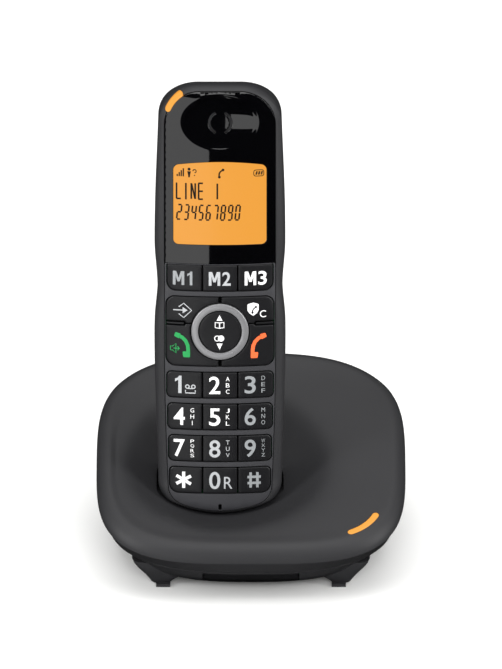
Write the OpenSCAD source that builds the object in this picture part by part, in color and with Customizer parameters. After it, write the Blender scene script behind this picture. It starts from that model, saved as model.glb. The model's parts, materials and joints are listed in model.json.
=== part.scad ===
// Cordless telephone: a handset standing in its charging base.
// Millimetres. The base stands on z = 0, its front faces -Y, and x = 0, y = 0 is its middle.
// The handset is drawn in its own frame: x across, y from the crown of its face to its back,
// z up from its lower end. in_handset() leans it back into the cradle.

/* [Base] */
// Width of the base at its rim
base_w = 114; // [104:1:140]
// Depth of the base at its rim
base_d = 107; // [98:1:130]
// Height of the sloping top at the middle of the base
top_mid_h = 36.3; // [34:0.1:42]
// Slope of the top, rising to the back
top_slope = 15; // [12:1:18]
// Radius of the soft edge round the top
rim_r = 5; // [3:0.5:7]
// Height of the joint between the upper and lower case
case_joint_h = 11.6; // [10:0.1:13]
// How far the case draws in from the rim to that joint
case_draw_in = 4; // [2:0.5:7]
// Thickness of the base's walls
base_wall = 2; // [1.6:0.1:2.6]
// Height of the lower case's underside above the table
underside_h = 3; // [2.4:0.1:4]
// Radius of the dish in front of and round the handset
dish_r = 60; // [54:1:72]
// Distance of the dish's centre above the sloping top
dish_lift = 45.8; // [42:0.1:58]

/* [Handset] */
// Length of the handset
handset_len = 161.5; // [160.5:0.1:194]
// Half of the handset's width at the number keys, its widest place
hip_half_w = 24.15; // [23:0.05:29]
// Half of the width at the waist above the navigation keys
waist_half_w = 23; // [22:0.05:28]
// Thickness of the handset
handset_t = 26; // [25:0.1:31.5]
// Thickness of the handset's side and back walls
handset_wall = 1.8; // [1.5:0.1:2.2]
// Radius of the face's curve across
face_r = 70; // [58:0.1:90]
// Angle at which the handset leans back
lean = 12; // [8:1:15]
// Sideways place of the handset on the base
handset_x = -11.4; // [-13:0.1:-9]
// Lift of the handset for taking it out
handset_travel = 60; // [50:1:80]
// Gap between the handset and the cradle's walls
cradle_gap = 0.5; // [0.4:0.1:0.8]

/* [Keys] */
// Height of one number key
key_h = 9.6; // [8:0.1:10.4]
// Spacing of the rows of number keys
row_pitch = 12.05; // [11:0.05:12.5]
// Half of the width of a row of keys
row_half_w = 19.5; // [16.2:0.05:19.6]
// Gap between keys, and between a key and its hole
key_gap = 0.3; // [0.25:0.05:0.5]
// How far a key stands out of the face
key_proud = 0.35; // [0.2:0.05:0.6]
// Travel of a key
key_travel = 0.8; // [0.5:0.1:0.8]
// Outer radius of the navigation ring
ring_r = 10.55; // [9:0.05:11]
// Radius of the navigation disc
disc_r = 7.75; // [6:0.05:8]

/* [Cells] */
// Diameter of a rechargeable cell
cell_d = 10.5; // [8.7:0.05:10.8]
// Length of a rechargeable cell
cell_len = 44.5; // [43:0.1:45]

/* [Hidden] */
$fn = 48;

shell_colour = "#343436";
key_colour = "#2a2a2c";
orange = "#f5a33b";
slack = 0.01;

// Base: derived places
rim_half_w = base_w / 2;
rim_half_d = base_d / 2;
joint_half_w = rim_half_w - case_draw_in;
joint_half_d = rim_half_d - case_draw_in + 0.5;
board_z = underside_h + base_wall + 1.5;
board_t = 1.6;
board_top = board_z + board_t;
dish_y = -1.9 * cos(top_slope);
foot_x = joint_half_w - 20.7;
foot_y = joint_half_d - 16;
foot_gap = 0.6;
foot_len = 12;
screw_places = [
    [-joint_half_w + 15, -joint_half_d + 29], [joint_half_w - 15, -joint_half_d + 32],
    [-joint_half_w + 17, joint_half_d - 22], [joint_half_w - 16, joint_half_d - 24]
];
board_x = 15;
board_w = 18;
board_front = -joint_half_d + 9;
board_back = joint_half_d - 7.5;
posts = [
    [20, board_front + 5], [-8, board_front + 5], [30, 0],
    [18, board_back - 4.5], [-6, board_back - 11.5]
];
boss_r = 3.4;
screw_r = 1.3;
line_x = 12;
power_x = -4;
line_size = [13.2, 13.6, 12];
power_size = [9, 13.6, 11];
socket_y = joint_half_d - 1.6;
plug_w = 9.7;
plug_h = 6.8;
page_w = 35;
page_h = 5.6;
page_z = 7.4;
page_travel = 1;
pipe_arc_r = 19;
pipe_w = 2.4;
pipe_centre = [rim_half_w - 28.6, -rim_half_d / cos(top_slope) + 28.2];
pipe_mid = pipe_centre + pipe_arc_r * [cos(44), -sin(44)];
led_place = [board_x + 13.8, board_front + 8.4];

// Handset: derived places. s_... values count down from its upper end
foot_of_face = [-19, 20];
front_part_y = 11.4;
floor_t = 1.4;
plate_t = 1.6;
front_wall = plate_t + floor_t;
seam_half_w = row_half_w + 0.9;
seam_taper = 2;
s_seam_taper = 97.5;
seam_gap = 0.12;
top_half_w = 22.4;
shoulder_half_w = hip_half_w - 0.1;
lower_half_w = hip_half_w - 1.55;
s_waist = 76.5;
s_shoulder = 58.5;
s_hip = 93.5;
section_margin = 0.45;
edge_depth = 2.4;
face_edge_r = 7;
back_edge_r = 9;
back_arc_r = 62;
top_back_r = handset_t - 8;
top_front_r = 6;
low_front_r = 3;
low_back_r = 8;
top_corner_r = 15;
low_corner_r = 8;
low_arc_r = 42;
s_window_end = 66.7;
s_ear = 13.3;
ear_half_w = 14.5;
ear_half_h = 10.3;
ear_depth = 3.2;
ear_rim = 1.2;
hand_pipe_at = [13.8 - seam_half_w, 14];
hand_pipe_r = 13.5;
hand_pipe_w = 1.9;
s_speaker = 33.5;
s_mat_end = 153.5;
mic_z = 4.9;
mic_r = 2.4;
mic_slot = [1.2, 2.2];
mic_slot_z = 1.6;
lcd_w = 36;
lcd_h = 34;
s_lcd = 43.7;
s_memory = 71.9;
memory_h = 9.6;
memory_half_w = row_half_w - 0.1;
s_cluster = 92.1;
cluster_h = 26;
cluster_half_w = row_half_w + 0.25;
row_taper = 0.33;
s_split = 89.2;
s_row_1 = 112.4;
divider = row_half_w / 3;
lcd_y = face_r - sqrt(pow(face_r - plate_t, 2) - pow(lcd_w / 2, 2)) + 0.1;
lcd_t = 1.8;
mat_y = lcd_y + 2.3;
mat_t = 1;
hand_board_y = mat_y + mat_t;
hand_board_t = 1.4;
key_foot_y = mat_y - key_travel - 0.1;
hand_screws = [[-16.5, handset_len - 21.5], [16.5, handset_len - 21.5], [-12, 5.2], [12, 5.2]];
hand_screw_r = 1;
bay_half_w = 12.3;
bay_low = 44;
bay_len = cell_len + 8;
cell_seat = 3.4;
bay_floor_y = front_part_y + 1.2;
cell_y = bay_floor_y + 0.2 + cell_d / 2;
door_half_w = 17.7;
door_low = bay_low - 5;
door_len = bay_len + 10;
door_t = 1.6;
door_travel = 8;
door_gap = 0.3;

// ---- outlines ------------------------------------------------------------------------

// Points of a rounded square whose sides bow slightly: a superellipse
function bowed_square(a, b, power, n = 56) = [
    for (i = [0 : n - 1])
        let (c = cos(360 * i / n), s = sin(360 * i / n))
        [a * sign(c) * pow(abs(c), 2 / power), b * sign(s) * pow(abs(s), 2 / power)]
];

// Smooth change from a to b as t runs from 0 to 1
function ease(a, b, t) = a + (b - a) * (1 - cos(180 * min(1, max(0, t)))) / 2;

// Half of the handset's width at height z, with its waist
function half_width(z) = let (s = handset_len - z)
    s > s_hip ? ease(hip_half_w, lower_half_w, (s - s_hip) / (handset_len - s_hip)) :
    s > s_waist ? ease(waist_half_w, hip_half_w, (s - s_waist) / (s_hip - s_waist)) :
    s > s_shoulder ? ease(shoulder_half_w, waist_half_w, (s - s_shoulder) / (s_waist - s_shoulder)) :
    ease(top_half_w, shoulder_half_w, s / s_shoulder);

function from_top(s) = handset_len - s;

// Points of a quarter-round corner of radius r about [x, y], starting at angle a0
function corner(x, y, r, a0, n = 7) = [
    for (i = [0 : n])
        [x + r * cos(a0 + 90 * i / n), y + r * sin(a0 + 90 * i / n)]
];

// Half of the width inside the seam at height z: straight, then drawing in to the lower end
function seam_width(z) = let (t = max(0, handset_len - z - s_seam_taper) / (handset_len - s_seam_taper))
    seam_half_w - seam_taper * t * t;

// Outline in front view from half-widths at even heights, with a round top and an arched low end
module upright_plan(half_ws, top_half, top = 0, low = 0, round_r = 8) {
    steps = len(half_ws) - 1;
    zs = [for (i = [0 : steps]) i == 0 ? -5 : i == steps ? handset_len + 5 : handset_len * i / steps];
    sides = concat(
        [for (i = [0 : steps]) [half_ws[i], zs[i]]],
        [for (i = [steps : -1 : 0]) [-half_ws[i], zs[i]]]
    );
    top_r = top_corner_r - top;
    corner_x = top_half - top_r;
    corner_z = handset_len - top - top_r;
    offset(r = round_r)
        offset(delta = -round_r)
            intersection() {
                polygon(sides);
                union() {
                    translate([0, low + low_arc_r])
                        circle(r = low_arc_r);
                    translate([-40, low + low_arc_r])
                        square([80, handset_len]);
                }
                union() {
                    for (sx = [-1, 1])
                        translate([sx * corner_x, corner_z])
                            circle(r = top_r);
                    translate([-corner_x, corner_z])
                        square([2 * corner_x, top_r]);
                    translate([-40, -6])
                        square([80, corner_z + 6]);
                }
            }
}

// Outline of the handset, drawn in by the given amounts
module handset_plan(side = 0, end = 0)
    upright_plan(
        [for (i = [0 : 26]) half_width(handset_len * i / 26) - side],
        top_half_w - side + 0.3, end, end, low_corner_r - side / 2
    );

// Outline of the seam round the face, drawn in by a gap
module seam_plan(gap = 0)
    upright_plan(
        [for (i = [0 : 26]) seam_width(handset_len * i / 26) - gap],
        seam_half_w - gap, 1.8 + gap, 1.2 + gap, low_corner_r - 1
    );

// Side view of the handset, y to the back and z up
module handset_side(front = 0, back = 0, end = 0) {
    y1 = handset_t - back;
    z1 = handset_len - end;
    top_back = top_back_r - back;
    top_front = top_front_r - end;
    low_front = low_front_r - min(front, end);
    low_back = low_back_r - back;
    polygon(concat(
        corner(y1 - top_back, z1 - top_back, top_back, 0),
        corner(front + top_front, z1 - top_front, top_front, 90),
        corner(front + low_front, end + low_front, low_front, 180),
        corner(y1 - low_back, end + low_back, low_back, 270)
    ));
}

// Cross-section of the handset: a curved face, soft edges and a crowned back
module handset_section(side = 0, front = 0, back = 0) {
    half = hip_half_w + section_margin - side;
    face_r_in = face_edge_r - side;
    back_r_in = back_edge_r - side;
    back_y = handset_t - side;
    intersection() {
        translate([0, face_r])
            circle(r = face_r - front, $fn = 96);
        translate([0, handset_t - back_arc_r])
            circle(r = back_arc_r - back, $fn = 96);
        polygon(concat(
            corner(half - back_r_in, back_y - back_r_in, back_r_in, 0),
            corner(-half + back_r_in, back_y - back_r_in, back_r_in, 90),
            corner(-half + face_r_in, edge_depth + side + face_r_in, face_r_in, 180),
            corner(half - face_r_in, edge_depth + side + face_r_in, face_r_in, 270)
        ));
    }
}

// A flat outline carried from depth y0 to depth y1 of the handset
module through(y0, y1)
    translate([0, y1, 0])
        rotate([90, 0, 0])
            linear_extrude(y1 - y0)
                children();

// The handset's whole body, drawn in from its side, face, back, top and lower end
module handset_body(side = 0, front = 0, back = 0, end = 0) {
    intersection() {
        through(-5, handset_t + 5)
            handset_plan(side, end);
        translate([0, 0, -5])
            linear_extrude(handset_len + 10)
                handset_section(side, front, back);
        translate([-40, 0, 0])
            rotate([90, 0, 90])
                linear_extrude(80)
                    handset_side(front, back, end);
    }
}

module handset_cavity()
    handset_body(handset_wall, front_wall, handset_wall, handset_wall + 0.2);

// The part of the handset's face between two depths below its curve
module face_layer(outer, inner, y_max = 9)
    intersection() {
        difference() {
            translate([0, face_r, -5])
                cylinder(r = face_r - outer, h = handset_len + 10, $fn = 96);
            translate([0, face_r, -6])
                cylinder(r = face_r - inner, h = handset_len + 12, $fn = 96);
        }
        translate([-40, -5, -6])
            cube([80, y_max + 5, handset_len + 12]);
    }

// Places a piece drawn in the handset's frame
module in_handset()
    translate([handset_x, foot_of_face[0], foot_of_face[1]])
        rotate([-lean, 0, 0])
            children();

// Row outline with its own upper and lower corner radii, centred on its middle
module row_plan(half_w, h, top_r, low_r)
    polygon(concat(
        corner(half_w - top_r, h / 2 - top_r, top_r, 0),
        corner(-half_w + top_r, h / 2 - top_r, top_r, 90),
        corner(-half_w + low_r, -h / 2 + low_r, low_r, 180),
        corner(half_w - low_r, -h / 2 + low_r, low_r, 270)
    ));

// One of three keys in a row: col is -1, 0 or 1
module row_key_plan(col, half_w, h, top_r, low_r)
    intersection() {
        row_plan(half_w, h, top_r, low_r);
        translate([col == 0 ? -divider + key_gap / 2 : col < 0 ? -half_w - 1 : divider + key_gap / 2, -h])
            square([col == 0 ? 2 * divider - key_gap : half_w + 1 - divider - key_gap / 2, 2 * h]);
    }

// A key: its outline carried from its foot to just above the curved face
module key_solid(s, proud = key_proud)
    intersection() {
        through(-4, key_foot_y)
            translate([0, from_top(s)])
                children();
        translate([0, face_r, -5])
            cylinder(r = face_r + proud, h = handset_len + 10, $fn = 96);
    }

module cluster_plan(grow = 0)
    offset(r = grow)
        row_plan(cluster_half_w, cluster_h, 3.3, 3.3);

// All key outlines together, grown by the clearance, as holes
module key_holes_plan() {
    translate([0, from_top(s_memory)])
        offset(r = key_gap)
            row_plan(memory_half_w, memory_h, 0.6, 3.1);
    translate([0, from_top(s_cluster)])
        cluster_plan(key_gap);
    for (row = [0 : 3])
        translate([0, from_top(s_row_1 + row * row_pitch)])
            offset(r = key_gap)
                row_plan(row_half_w - row * row_taper, key_h, 1.7, row == 3 ? 3.3 : 1.7);
}

// ---- base ----------------------------------------------------------------------------

// A thin slice of the base's outline, tilted about the x axis at height z
module outline_slice(z, tilt, half_w, half_d, power)
    translate([0, 0, z])
        rotate([tilt, 0, 0])
            linear_extrude(slack)
                scale([1, 1 / cos(tilt)])
                    polygon(bowed_square(half_w, half_d, power));

// The upper case as a solid, drawn in by a wall
module upper_case_solid(wall = 0, floor_z = case_joint_h)
    hull() {
        for (a = [0, 30, 60, 90])
            outline_slice(
                top_mid_h - slack - wall / cos(top_slope) - (rim_r - wall) * (1 - cos(a)),
                top_slope,
                rim_half_w - wall - (rim_r - wall) * (1 - sin(a)),
                rim_half_d - wall - (rim_r - wall) * (1 - sin(a)),
                3.5
            );
        outline_slice(floor_z, 0, joint_half_w - wall, joint_half_d - wall, 2.7);
    }

// The lower case as a solid, drawn in by a wall
module lower_case_solid(wall = 0, floor_z = underside_h)
    hull() {
        translate([0, 0, case_joint_h - slack])
            outline_slice(0, 0, joint_half_w - wall, joint_half_d - wall, 2.7);
        outline_slice(underside_h + 4, 0, joint_half_w - 3 - wall, joint_half_d - 2 - wall, 2.7);
        outline_slice(floor_z, 0, joint_half_w - 7 - wall, joint_half_d - 6 - wall, 2.7);
    }

// The dish: a ball whose centre stands off the sloping top
module dish(grow = 0)
    translate([handset_x, dish_y, top_mid_h + dish_y * tan(top_slope)])
        rotate([top_slope, 0, 0])
            translate([0, 0, dish_lift])
                sphere(r = dish_r + grow, $fn = 96);

// The cradle's hollow: the handset's lower end with its clearance
module cradle(grow = cradle_gap)
    in_handset()
        intersection() {
            handset_body(-grow, -grow, -grow, -grow);
            translate([-40, -20, -10])
                cube([80, 80, 60]);
        }

module socket_cut(x, size)
    translate([x - size[0] / 2 - 0.3, socket_y - size[1], board_top - 0.3])
        cube([size[0] + 0.6, size[1] + 20, size[2] + 0.6]);

// Curved bar that follows a corner: a strip of an arc with two round ends
module pill_arc(r, w, a0, a1, steps = 10) {
    polygon(concat(
        [for (i = [0 : steps]) let (a = a0 + (a1 - a0) * i / steps) (r + w / 2) * [cos(a), sin(a)]],
        [for (i = [1 : 7]) let (a = a1 + 180 * i / 8) r * [cos(a1), sin(a1)] + w / 2 * [cos(a), sin(a)]],
        [for (i = [steps : -1 : 0]) let (a = a0 + (a1 - a0) * i / steps) (r - w / 2) * [cos(a), sin(a)]],
        [for (i = [1 : 7]) let (a = a0 + 180 + 180 * i / 8)
            r * [cos(a0), sin(a0)] + w / 2 * [cos(a), sin(a)]]
    ));
}

// Bar in the base's corner: its outline carried down through the sloping top
module base_pipe_prism(grow, low, high)
    translate([0, 0, top_mid_h])
        rotate([top_slope, 0, 0])
            translate([pipe_centre[0], pipe_centre[1], low])
                linear_extrude(high - low)
                    pill_arc(pipe_arc_r, pipe_w + 2 * grow, -64, -24);

module base_top_shell()
    color(shell_colour)
        difference() {
            upper_case_solid();
            // The hollow, less what stands in it: the dish's and the cradle's walls and the bosses
            difference() {
                upper_case_solid(base_wall, case_joint_h - 1);
                dish(base_wall);
                cradle(cradle_gap + 1.6);
                for (p = screw_places)
                    translate([p[0], p[1], case_joint_h])
                        cylinder(r = boss_r, h = 60);
            }
            dish();
            cradle();
            for (p = screw_places)
                translate([p[0], p[1], case_joint_h - 1])
                    cylinder(r = screw_r + 0.05, h = 9);
            for (sx = [-1, 1])
                contact_slot(sx);
            base_pipe_prism(0.15, -6, 5);
            socket_cut(line_x, line_size);
            socket_cut(power_x, power_size);
        }

// Slot in the cradle's floor for one charging contact
module contact_slot(sx)
    in_handset()
        translate([sx * 8 - 1.9, 12.1, -6])
            cube([3.8, 6.8, 8]);

module foot_plan()
    polygon([[-3.6, 0], [3.6, 0], [5, 1.6], [9, 3.2], [-9, 3.2], [-5, 1.6]]);

module base_bottom_shell()
    color(shell_colour)
        difference() {
            union() {
                difference() {
                    lower_case_solid();
                    translate([0, 0, slack])
                        lower_case_solid(base_wall, underside_h + base_wall);
                }
                intersection() {
                    for (sx = [-1, 1], sy = [-1, 1])
                        translate([sx * foot_x, sy * foot_y + foot_len / 2, foot_gap])
                            rotate([90, 0, 0])
                                linear_extrude(foot_len)
                                    foot_plan();
                    linear_extrude(case_joint_h)
                        polygon(bowed_square(joint_half_w - 5.5, joint_half_d - 4.5, 2.7));
                }
                for (p = screw_places)
                    translate([p[0], p[1], underside_h + 0.5])
                        cylinder(r = boss_r, h = case_joint_h - underside_h - 0.5 - 0.05);
                for (p = posts)
                    translate([p[0], p[1], underside_h + 1])
                        cylinder(r = 2.2, h = board_z - underside_h - 1);
                for (sx = [-1, 1])
                    translate([handset_x - 3 + sx * 8, 0, underside_h + 1])
                        cylinder(r = 2, h = board_z - underside_h - 1);
                translate([-14.3, -joint_half_d + 8.4, underside_h - 0.8])
                    cube([4.7, 3, 1.6]);
            }
            for (p = screw_places) {
                translate([p[0], p[1], -1])
                    cylinder(r = screw_r + 0.2, h = 30);
                translate([p[0], p[1], -1])
                    cylinder(r = 2.9, h = 7);
            }
            for (sx = [-1, 1], sy = [-1, 1])
                translate([sx * foot_x - 2.7, sy * foot_y - 4.7, foot_gap - 1])
                    cube([5.4, 9.4, 1.6]);
            translate([0, -joint_half_d + 4, page_z])
                cube([page_w + 2 * key_gap, 16, page_h + 2 * key_gap], center = true);
            socket_cut(line_x, line_size);
            socket_cut(power_x, power_size);
        }

module base_rubber_feet()
    color("#1c1c1d")
        for (sx = [-1, 1], sy = [-1, 1])
            translate([sx * foot_x - 2.6, sy * foot_y - 4.6, 0])
                cube([5.2, 9.2, foot_gap + 0.55]);

module base_screws()
    color("#8c8f92")
        for (p = screw_places)
            translate([p[0], p[1], 6]) {
                translate([0, 0, -1.6])
                    cylinder(r = 2.5, h = 1.6);
                cylinder(r = screw_r, h = 12);
            }

// The main board: one flat outline with arms to the sockets and to the page key
module base_circuit_board()
    color("#1f5c38")
        translate([0, 0, board_z])
            linear_extrude(board_t)
                difference() {
                    union() {
                        translate([board_x, board_front + 8])
                            square([board_w, board_back - board_front - 22.5]);
                        translate([-14, board_front])
                            square([39, 12]);
                        translate([-10, board_back - 15.5])
                            square([32, 15.5]);
                    }
                    translate([board_x, board_front + 12])
                        circle(r = 1.5);
                }

module charge_contact_board()
    color("#1f5c38")
        translate([handset_x - 15, -7, board_z])
            cube([24, 14, board_t]);

module line_socket()
    color("#262628")
        translate([line_x - line_size[0] / 2, socket_y - line_size[1], board_top])
            difference() {
                cube(line_size);
                translate([(line_size[0] - plug_w) / 2, 2, 2.2])
                    cube([plug_w, line_size[1], plug_h]);
                translate([(line_size[0] - 4) / 2, 4, 1.2])
                    cube([4, line_size[1], 2]);
            }

module power_socket()
    color("#262628")
        translate([power_x, socket_y, board_top]) {
            difference() {
                translate([-power_size[0] / 2, -power_size[1], 0])
                    cube(power_size);
                translate([0, 1, 6])
                    rotate([90, 0, 0])
                        cylinder(r = 2.85, h = 10.5);
            }
            translate([0, -0.8, 6])
                rotate([90, 0, 0])
                    cylinder(r = 0.7, h = 9);
        }

// Two sprung strips that stand on their board and reach through the cradle's floor
module base_charge_contacts()
    color("#d8d2c0")
        for (sx = [-1, 1]) {
            intersection() {
                translate([handset_x + sx * 8 - 1.2, -2, board_top])
                    cube([2.4, 0.6, 20]);
                in_handset()
                    translate([-40, -20, -30])
                        cube([80, 80, 29.7]);
            }
            translate([handset_x + sx * 8 - 1.2, -5, board_top])
                cube([2.4, 3.2, 0.5]);
        }

module base_light_pipe()
    color(orange) {
        base_pipe_prism(0, -3.2, 0.1);
        hull() {
            translate([0, 0, top_mid_h])
                rotate([top_slope, 0, 0])
                    translate([pipe_mid[0] - pipe_w / 2, pipe_mid[1] - pipe_w / 2, -3.4])
                        cube([pipe_w, pipe_w, 0.6]);
            translate([led_place[0] + 0.6, led_place[1] + 0.6, board_top + 1.2])
                cube([pipe_w, pipe_w, slack]);
        }
    }

module base_led()
    color("#f0ead8")
        translate([led_place[0], led_place[1], board_top])
            cube([3.6, 3.6, 1]);

module base_antenna()
    color("#b9a06a") {
        translate([31, -6, board_top + 4])
            cube([0.5, 24, 3]);
        for (y = [-6, 4])
            translate([31, y, board_top])
                cube([0.5, 1.6, 4]);
    }

module page_key()
    color(key_colour)
        intersection() {
            translate([-page_w / 2, -joint_half_d, page_z - page_h / 2])
                cube([page_w, 6.2, page_h]);
            lower_case_solid();
        }

module page_switch()
    color("#b8b8ba")
        translate([-3, -joint_half_d + 6.2 + page_travel + 1.4, board_top]) {
            cube([6, 4.4, 3.4]);
            translate([2, -1.2, 0.6])
                cube([2, 1.2, 2]);
        }

// ---- handset -------------------------------------------------------------------------

// Bar in the handset's upper corner, following its curve
module handset_pipe_plan(grow = 0)
    translate([hand_pipe_at[0], from_top(hand_pipe_at[1])])
        pill_arc(hand_pipe_r, hand_pipe_w + 2 * grow, 126, 157);

// Round the earpiece: a circle cut off above and below it
module ear_plan(grow = 0)
    translate([0, from_top(s_ear)])
        intersection() {
            circle(r = ear_half_w + grow);
            square([2 * (ear_half_w + grow), 2 * (ear_half_h + ear_rim + grow)], center = true);
        }

module handset_front_shell()
    color(shell_colour)
        in_handset()
            difference() {
                union() {
                    difference() {
                        intersection() {
                            handset_body();
                            translate([-40, -5, -5])
                                cube([80, front_part_y + 5, handset_len + 10]);
                        }
                        handset_cavity();
                    }
                    for (p = hand_screws)
                        translate([p[0], front_wall + 0.6, p[1]])
                            rotate([-90, 0, 0])
                                cylinder(r = 2.3, h = front_part_y - front_wall - 0.6);
                }
                // Recess for the face plate and the window
                difference() {
                    through(-5, 9)
                        seam_plan();
                    translate([0, face_r, -6])
                        cylinder(r = face_r - plate_t, h = handset_len + 12, $fn = 96);
                }
                through(-5, 10)
                    key_holes_plan();
                through(-5, 10)
                    translate([0, from_top(s_lcd)])
                        square([lcd_w + 0.6, lcd_h + 0.6], center = true);
                through(-5, 4.95)
                    intersection() {
                        ear_plan(0.9);
                        handset_plan(3.7, 4.7);
                    }
                through(-5, 10)
                    handset_pipe_plan(0.12);
                translate([-mic_slot[0] / 2, -5, mic_slot_z])
                    cube([mic_slot[0], 14, mic_slot[1]]);
                for (p = hand_screws)
                    translate([p[0], 5.4, p[1]])
                        rotate([-90, 0, 0])
                            cylinder(r = hand_screw_r + 0.05, h = 12);
            }

module face_plate()
    color(shell_colour)
        in_handset()
            intersection() {
                through(-5, 9)
                    difference() {
                        seam_plan(seam_gap);
                        translate([-40, from_top(s_window_end)])
                            square([80, 80]);
                        key_holes_plan();
                        translate([-mic_slot[0] / 2, mic_slot_z])
                            square(mic_slot);
                    }
                face_layer(0, plate_t - 0.05);
            }

// The bowl that the ear rests on: part of a ring surface round an upright axis
module ear_bowl() {
    tube_r = (pow(ear_half_h, 2) + pow(ear_depth, 2)) / (2 * ear_depth);
    face_drop = face_r - sqrt(pow(face_r, 2) - pow(ear_half_w, 2));
    sag = ear_depth - face_drop;
    wide_r = (pow(ear_half_w, 2) + pow(sag, 2)) / (2 * sag);
    translate([0, ear_depth - wide_r, from_top(s_ear)])
        rotate_extrude($fn = 96)
            translate([wide_r - tube_r, 0])
                circle(r = tube_r);
}

module display_window()
    color("#0c0c0e")
        in_handset()
            difference() {
                union() {
                    intersection() {
                        through(-5, 9)
                            difference() {
                                seam_plan(seam_gap);
                                translate([-40, -10])
                                    square([80, from_top(s_window_end) + 10 + seam_gap]);
                            }
                        face_layer(0, plate_t - 0.05);
                    }
                    through(2.6, 4.7)
                        intersection() {
                            ear_plan(0.6);
                            handset_plan(4, 5);
                        }
                }
                ear_bowl();
                through(-5, 10)
                    handset_pipe_plan(0.12);
                for (sx = [-1, 1])
                    through(0, 8)
                        translate([0, from_top(s_ear)])
                            intersection() {
                                difference() {
                                    circle(r = 4.4);
                                    circle(r = 3.4);
                                }
                                translate([sx * 5 - 2.8, -3.3])
                                    square([5.6, 6.6]);
                            }
            }

module lcd_panel()
    color(orange)
        in_handset()
            through(lcd_y, lcd_y + lcd_t)
                translate([0, from_top(s_lcd)])
                    square([lcd_w, lcd_h], center = true);

module lcd_backlight()
    color("#f4f1e6")
        in_handset()
            through(lcd_y + lcd_t, lcd_y + lcd_t + 1.4)
                translate([0, from_top(s_lcd)])
                    square([lcd_w - 1, lcd_h - 1], center = true);

module earpiece_receiver()
    color("#3c3c3e")
        in_handset()
            through(4.7, 8.4)
                translate([0, from_top(s_ear)])
                    circle(r = 7.5);

module microphone()
    color("#8f9194")
        in_handset()
            through(hand_board_y - 2.2, hand_board_y)
                translate([0, mic_z])
                    circle(r = mic_r);

module ringer_speaker()
    color("#3c3c3e")
        in_handset()
            through(handset_t - 7.2, handset_t - handset_wall - 0.9)
                translate([0, from_top(s_speaker)])
                    circle(r = 9);

module handset_circuit_board()
    color("#1f5c38")
        in_handset()
            through(hand_board_y, hand_board_y + hand_board_t)
                difference() {
                    handset_plan(3.6, 4.4);
                    translate([0, from_top(s_ear)])
                        circle(r = 8.2);
                    for (p = hand_screws)
                        translate([p[0], p[1]])
                            circle(r = 2.7);
                }

// One silicone sheet under every key
module keypad_mat()
    color("#d9d9d6")
        in_handset()
            through(mat_y, mat_y + mat_t)
                translate([-row_half_w + 0.6, from_top(s_mat_end)])
                    square([2 * row_half_w - 1.2, s_mat_end - s_memory + memory_h / 2]);

module handset_light_pipe()
    color(orange)
        in_handset()
            intersection() {
                union() {
                    through(-5, hand_board_y - 1.4)
                        handset_pipe_plan();
                    through(hand_board_y - 1.7, hand_board_y - 1)
                        translate([hand_pipe_at[0], from_top(hand_pipe_at[1])])
                            pill_arc(hand_pipe_r - 1.5, 3, 130, 153);
                }
                handset_body(-0.1, -0.1, 0, 0.1);
            }

module handset_led()
    color("#f0ead8")
        in_handset()
            translate([hand_pipe_at[0] - 9.2, hand_board_y - 0.9, from_top(8.9)])
                cube([2.4, 0.9, 2.4]);

module handset_rear_shell()
    color(shell_colour)
        in_handset()
            difference() {
                union() {
                    difference() {
                        intersection() {
                            handset_body();
                            translate([-40, front_part_y + slack, -5])
                                cube([80, 40, handset_len + 10]);
                        }
                        handset_cavity();
                    }
                    // Thick pad that the battery door slides on, with the battery bay's walls
                    intersection() {
                        handset_body();
                        union() {
                            translate([-door_half_w - 2, handset_t - 5.6, door_low - door_travel - 2])
                                cube([2 * door_half_w + 4, 10, door_len + door_travel + 4]);
                            translate([-bay_half_w - 1.2, front_part_y + slack, bay_low - 1.2])
                                cube([2 * bay_half_w + 2.4, 20, bay_len + 2.4]);
                        }
                    }
                    for (p = hand_screws)
                        translate([p[0], front_part_y + slack, p[1]])
                            rotate([-90, 0, 0])
                                cylinder(r = 3.1, h = 11.4);
                }
                // Battery bay
                translate([-bay_half_w, bay_floor_y, bay_low])
                    cube([2 * bay_half_w, 30, bay_len]);
                // The door's seat and the way it slides
                difference() {
                    translate([-door_half_w - door_gap, handset_t - 11, door_low - door_travel - door_gap])
                        cube([2 * (door_half_w + door_gap), 20, door_len + door_travel + 2 * door_gap]);
                    handset_door_core(door_t + door_gap);
                }
                for (p = hand_screws) {
                    translate([p[0], 5, p[1]])
                        rotate([-90, 0, 0])
                            cylinder(r = hand_screw_r + 0.2, h = 20);
                    translate([p[0], 15, p[1]])
                        rotate([-90, 0, 0])
                            cylinder(r = 2.1, h = 20);
                }
                for (k = [-2 : 2])
                    translate([-6 + abs(k), handset_t - 11, from_top(s_speaker) + k * 3 - 0.6])
                        cube([12 - 2 * abs(k), 20, 1.2]);
                for (sx = [-1, 1])
                    translate([sx * 8 - 2.5, 12.5, -5])
                        cube([5, 6, 10]);
            }

// The back's curved inner core, below which the door's skin lies
module handset_door_core(depth)
    translate([0, 0, -10])
        linear_extrude(handset_len + 20)
            handset_section(depth, 0, depth);

module battery_door()
    color(shell_colour)
        in_handset()
            difference() {
                intersection() {
                    translate([0, 0, 10])
                        linear_extrude(handset_len - 20)
                            handset_section();
                    translate([-door_half_w, handset_t - 11, door_low])
                        cube([2 * door_half_w, 20, door_len]);
                }
                handset_door_core(door_t);
                for (k = [0 : 3])
                    translate([-6, handset_t - 0.6, door_low + 5 + 2.4 * k])
                        cube([12, 2, 1.1]);
            }

module battery_cell(sx)
    in_handset()
        translate([sx * (cell_d / 2 + 0.4), cell_y, bay_low + cell_seat]) {
            cylinder(d = cell_d, h = cell_len - 1);
            cylinder(d = 3.8, h = cell_len);
        }

module battery_cell_left()
    color("#2f7a4a")
        battery_cell(-1);

module battery_cell_right()
    color("#2f7a4a")
        battery_cell(1);

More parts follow.
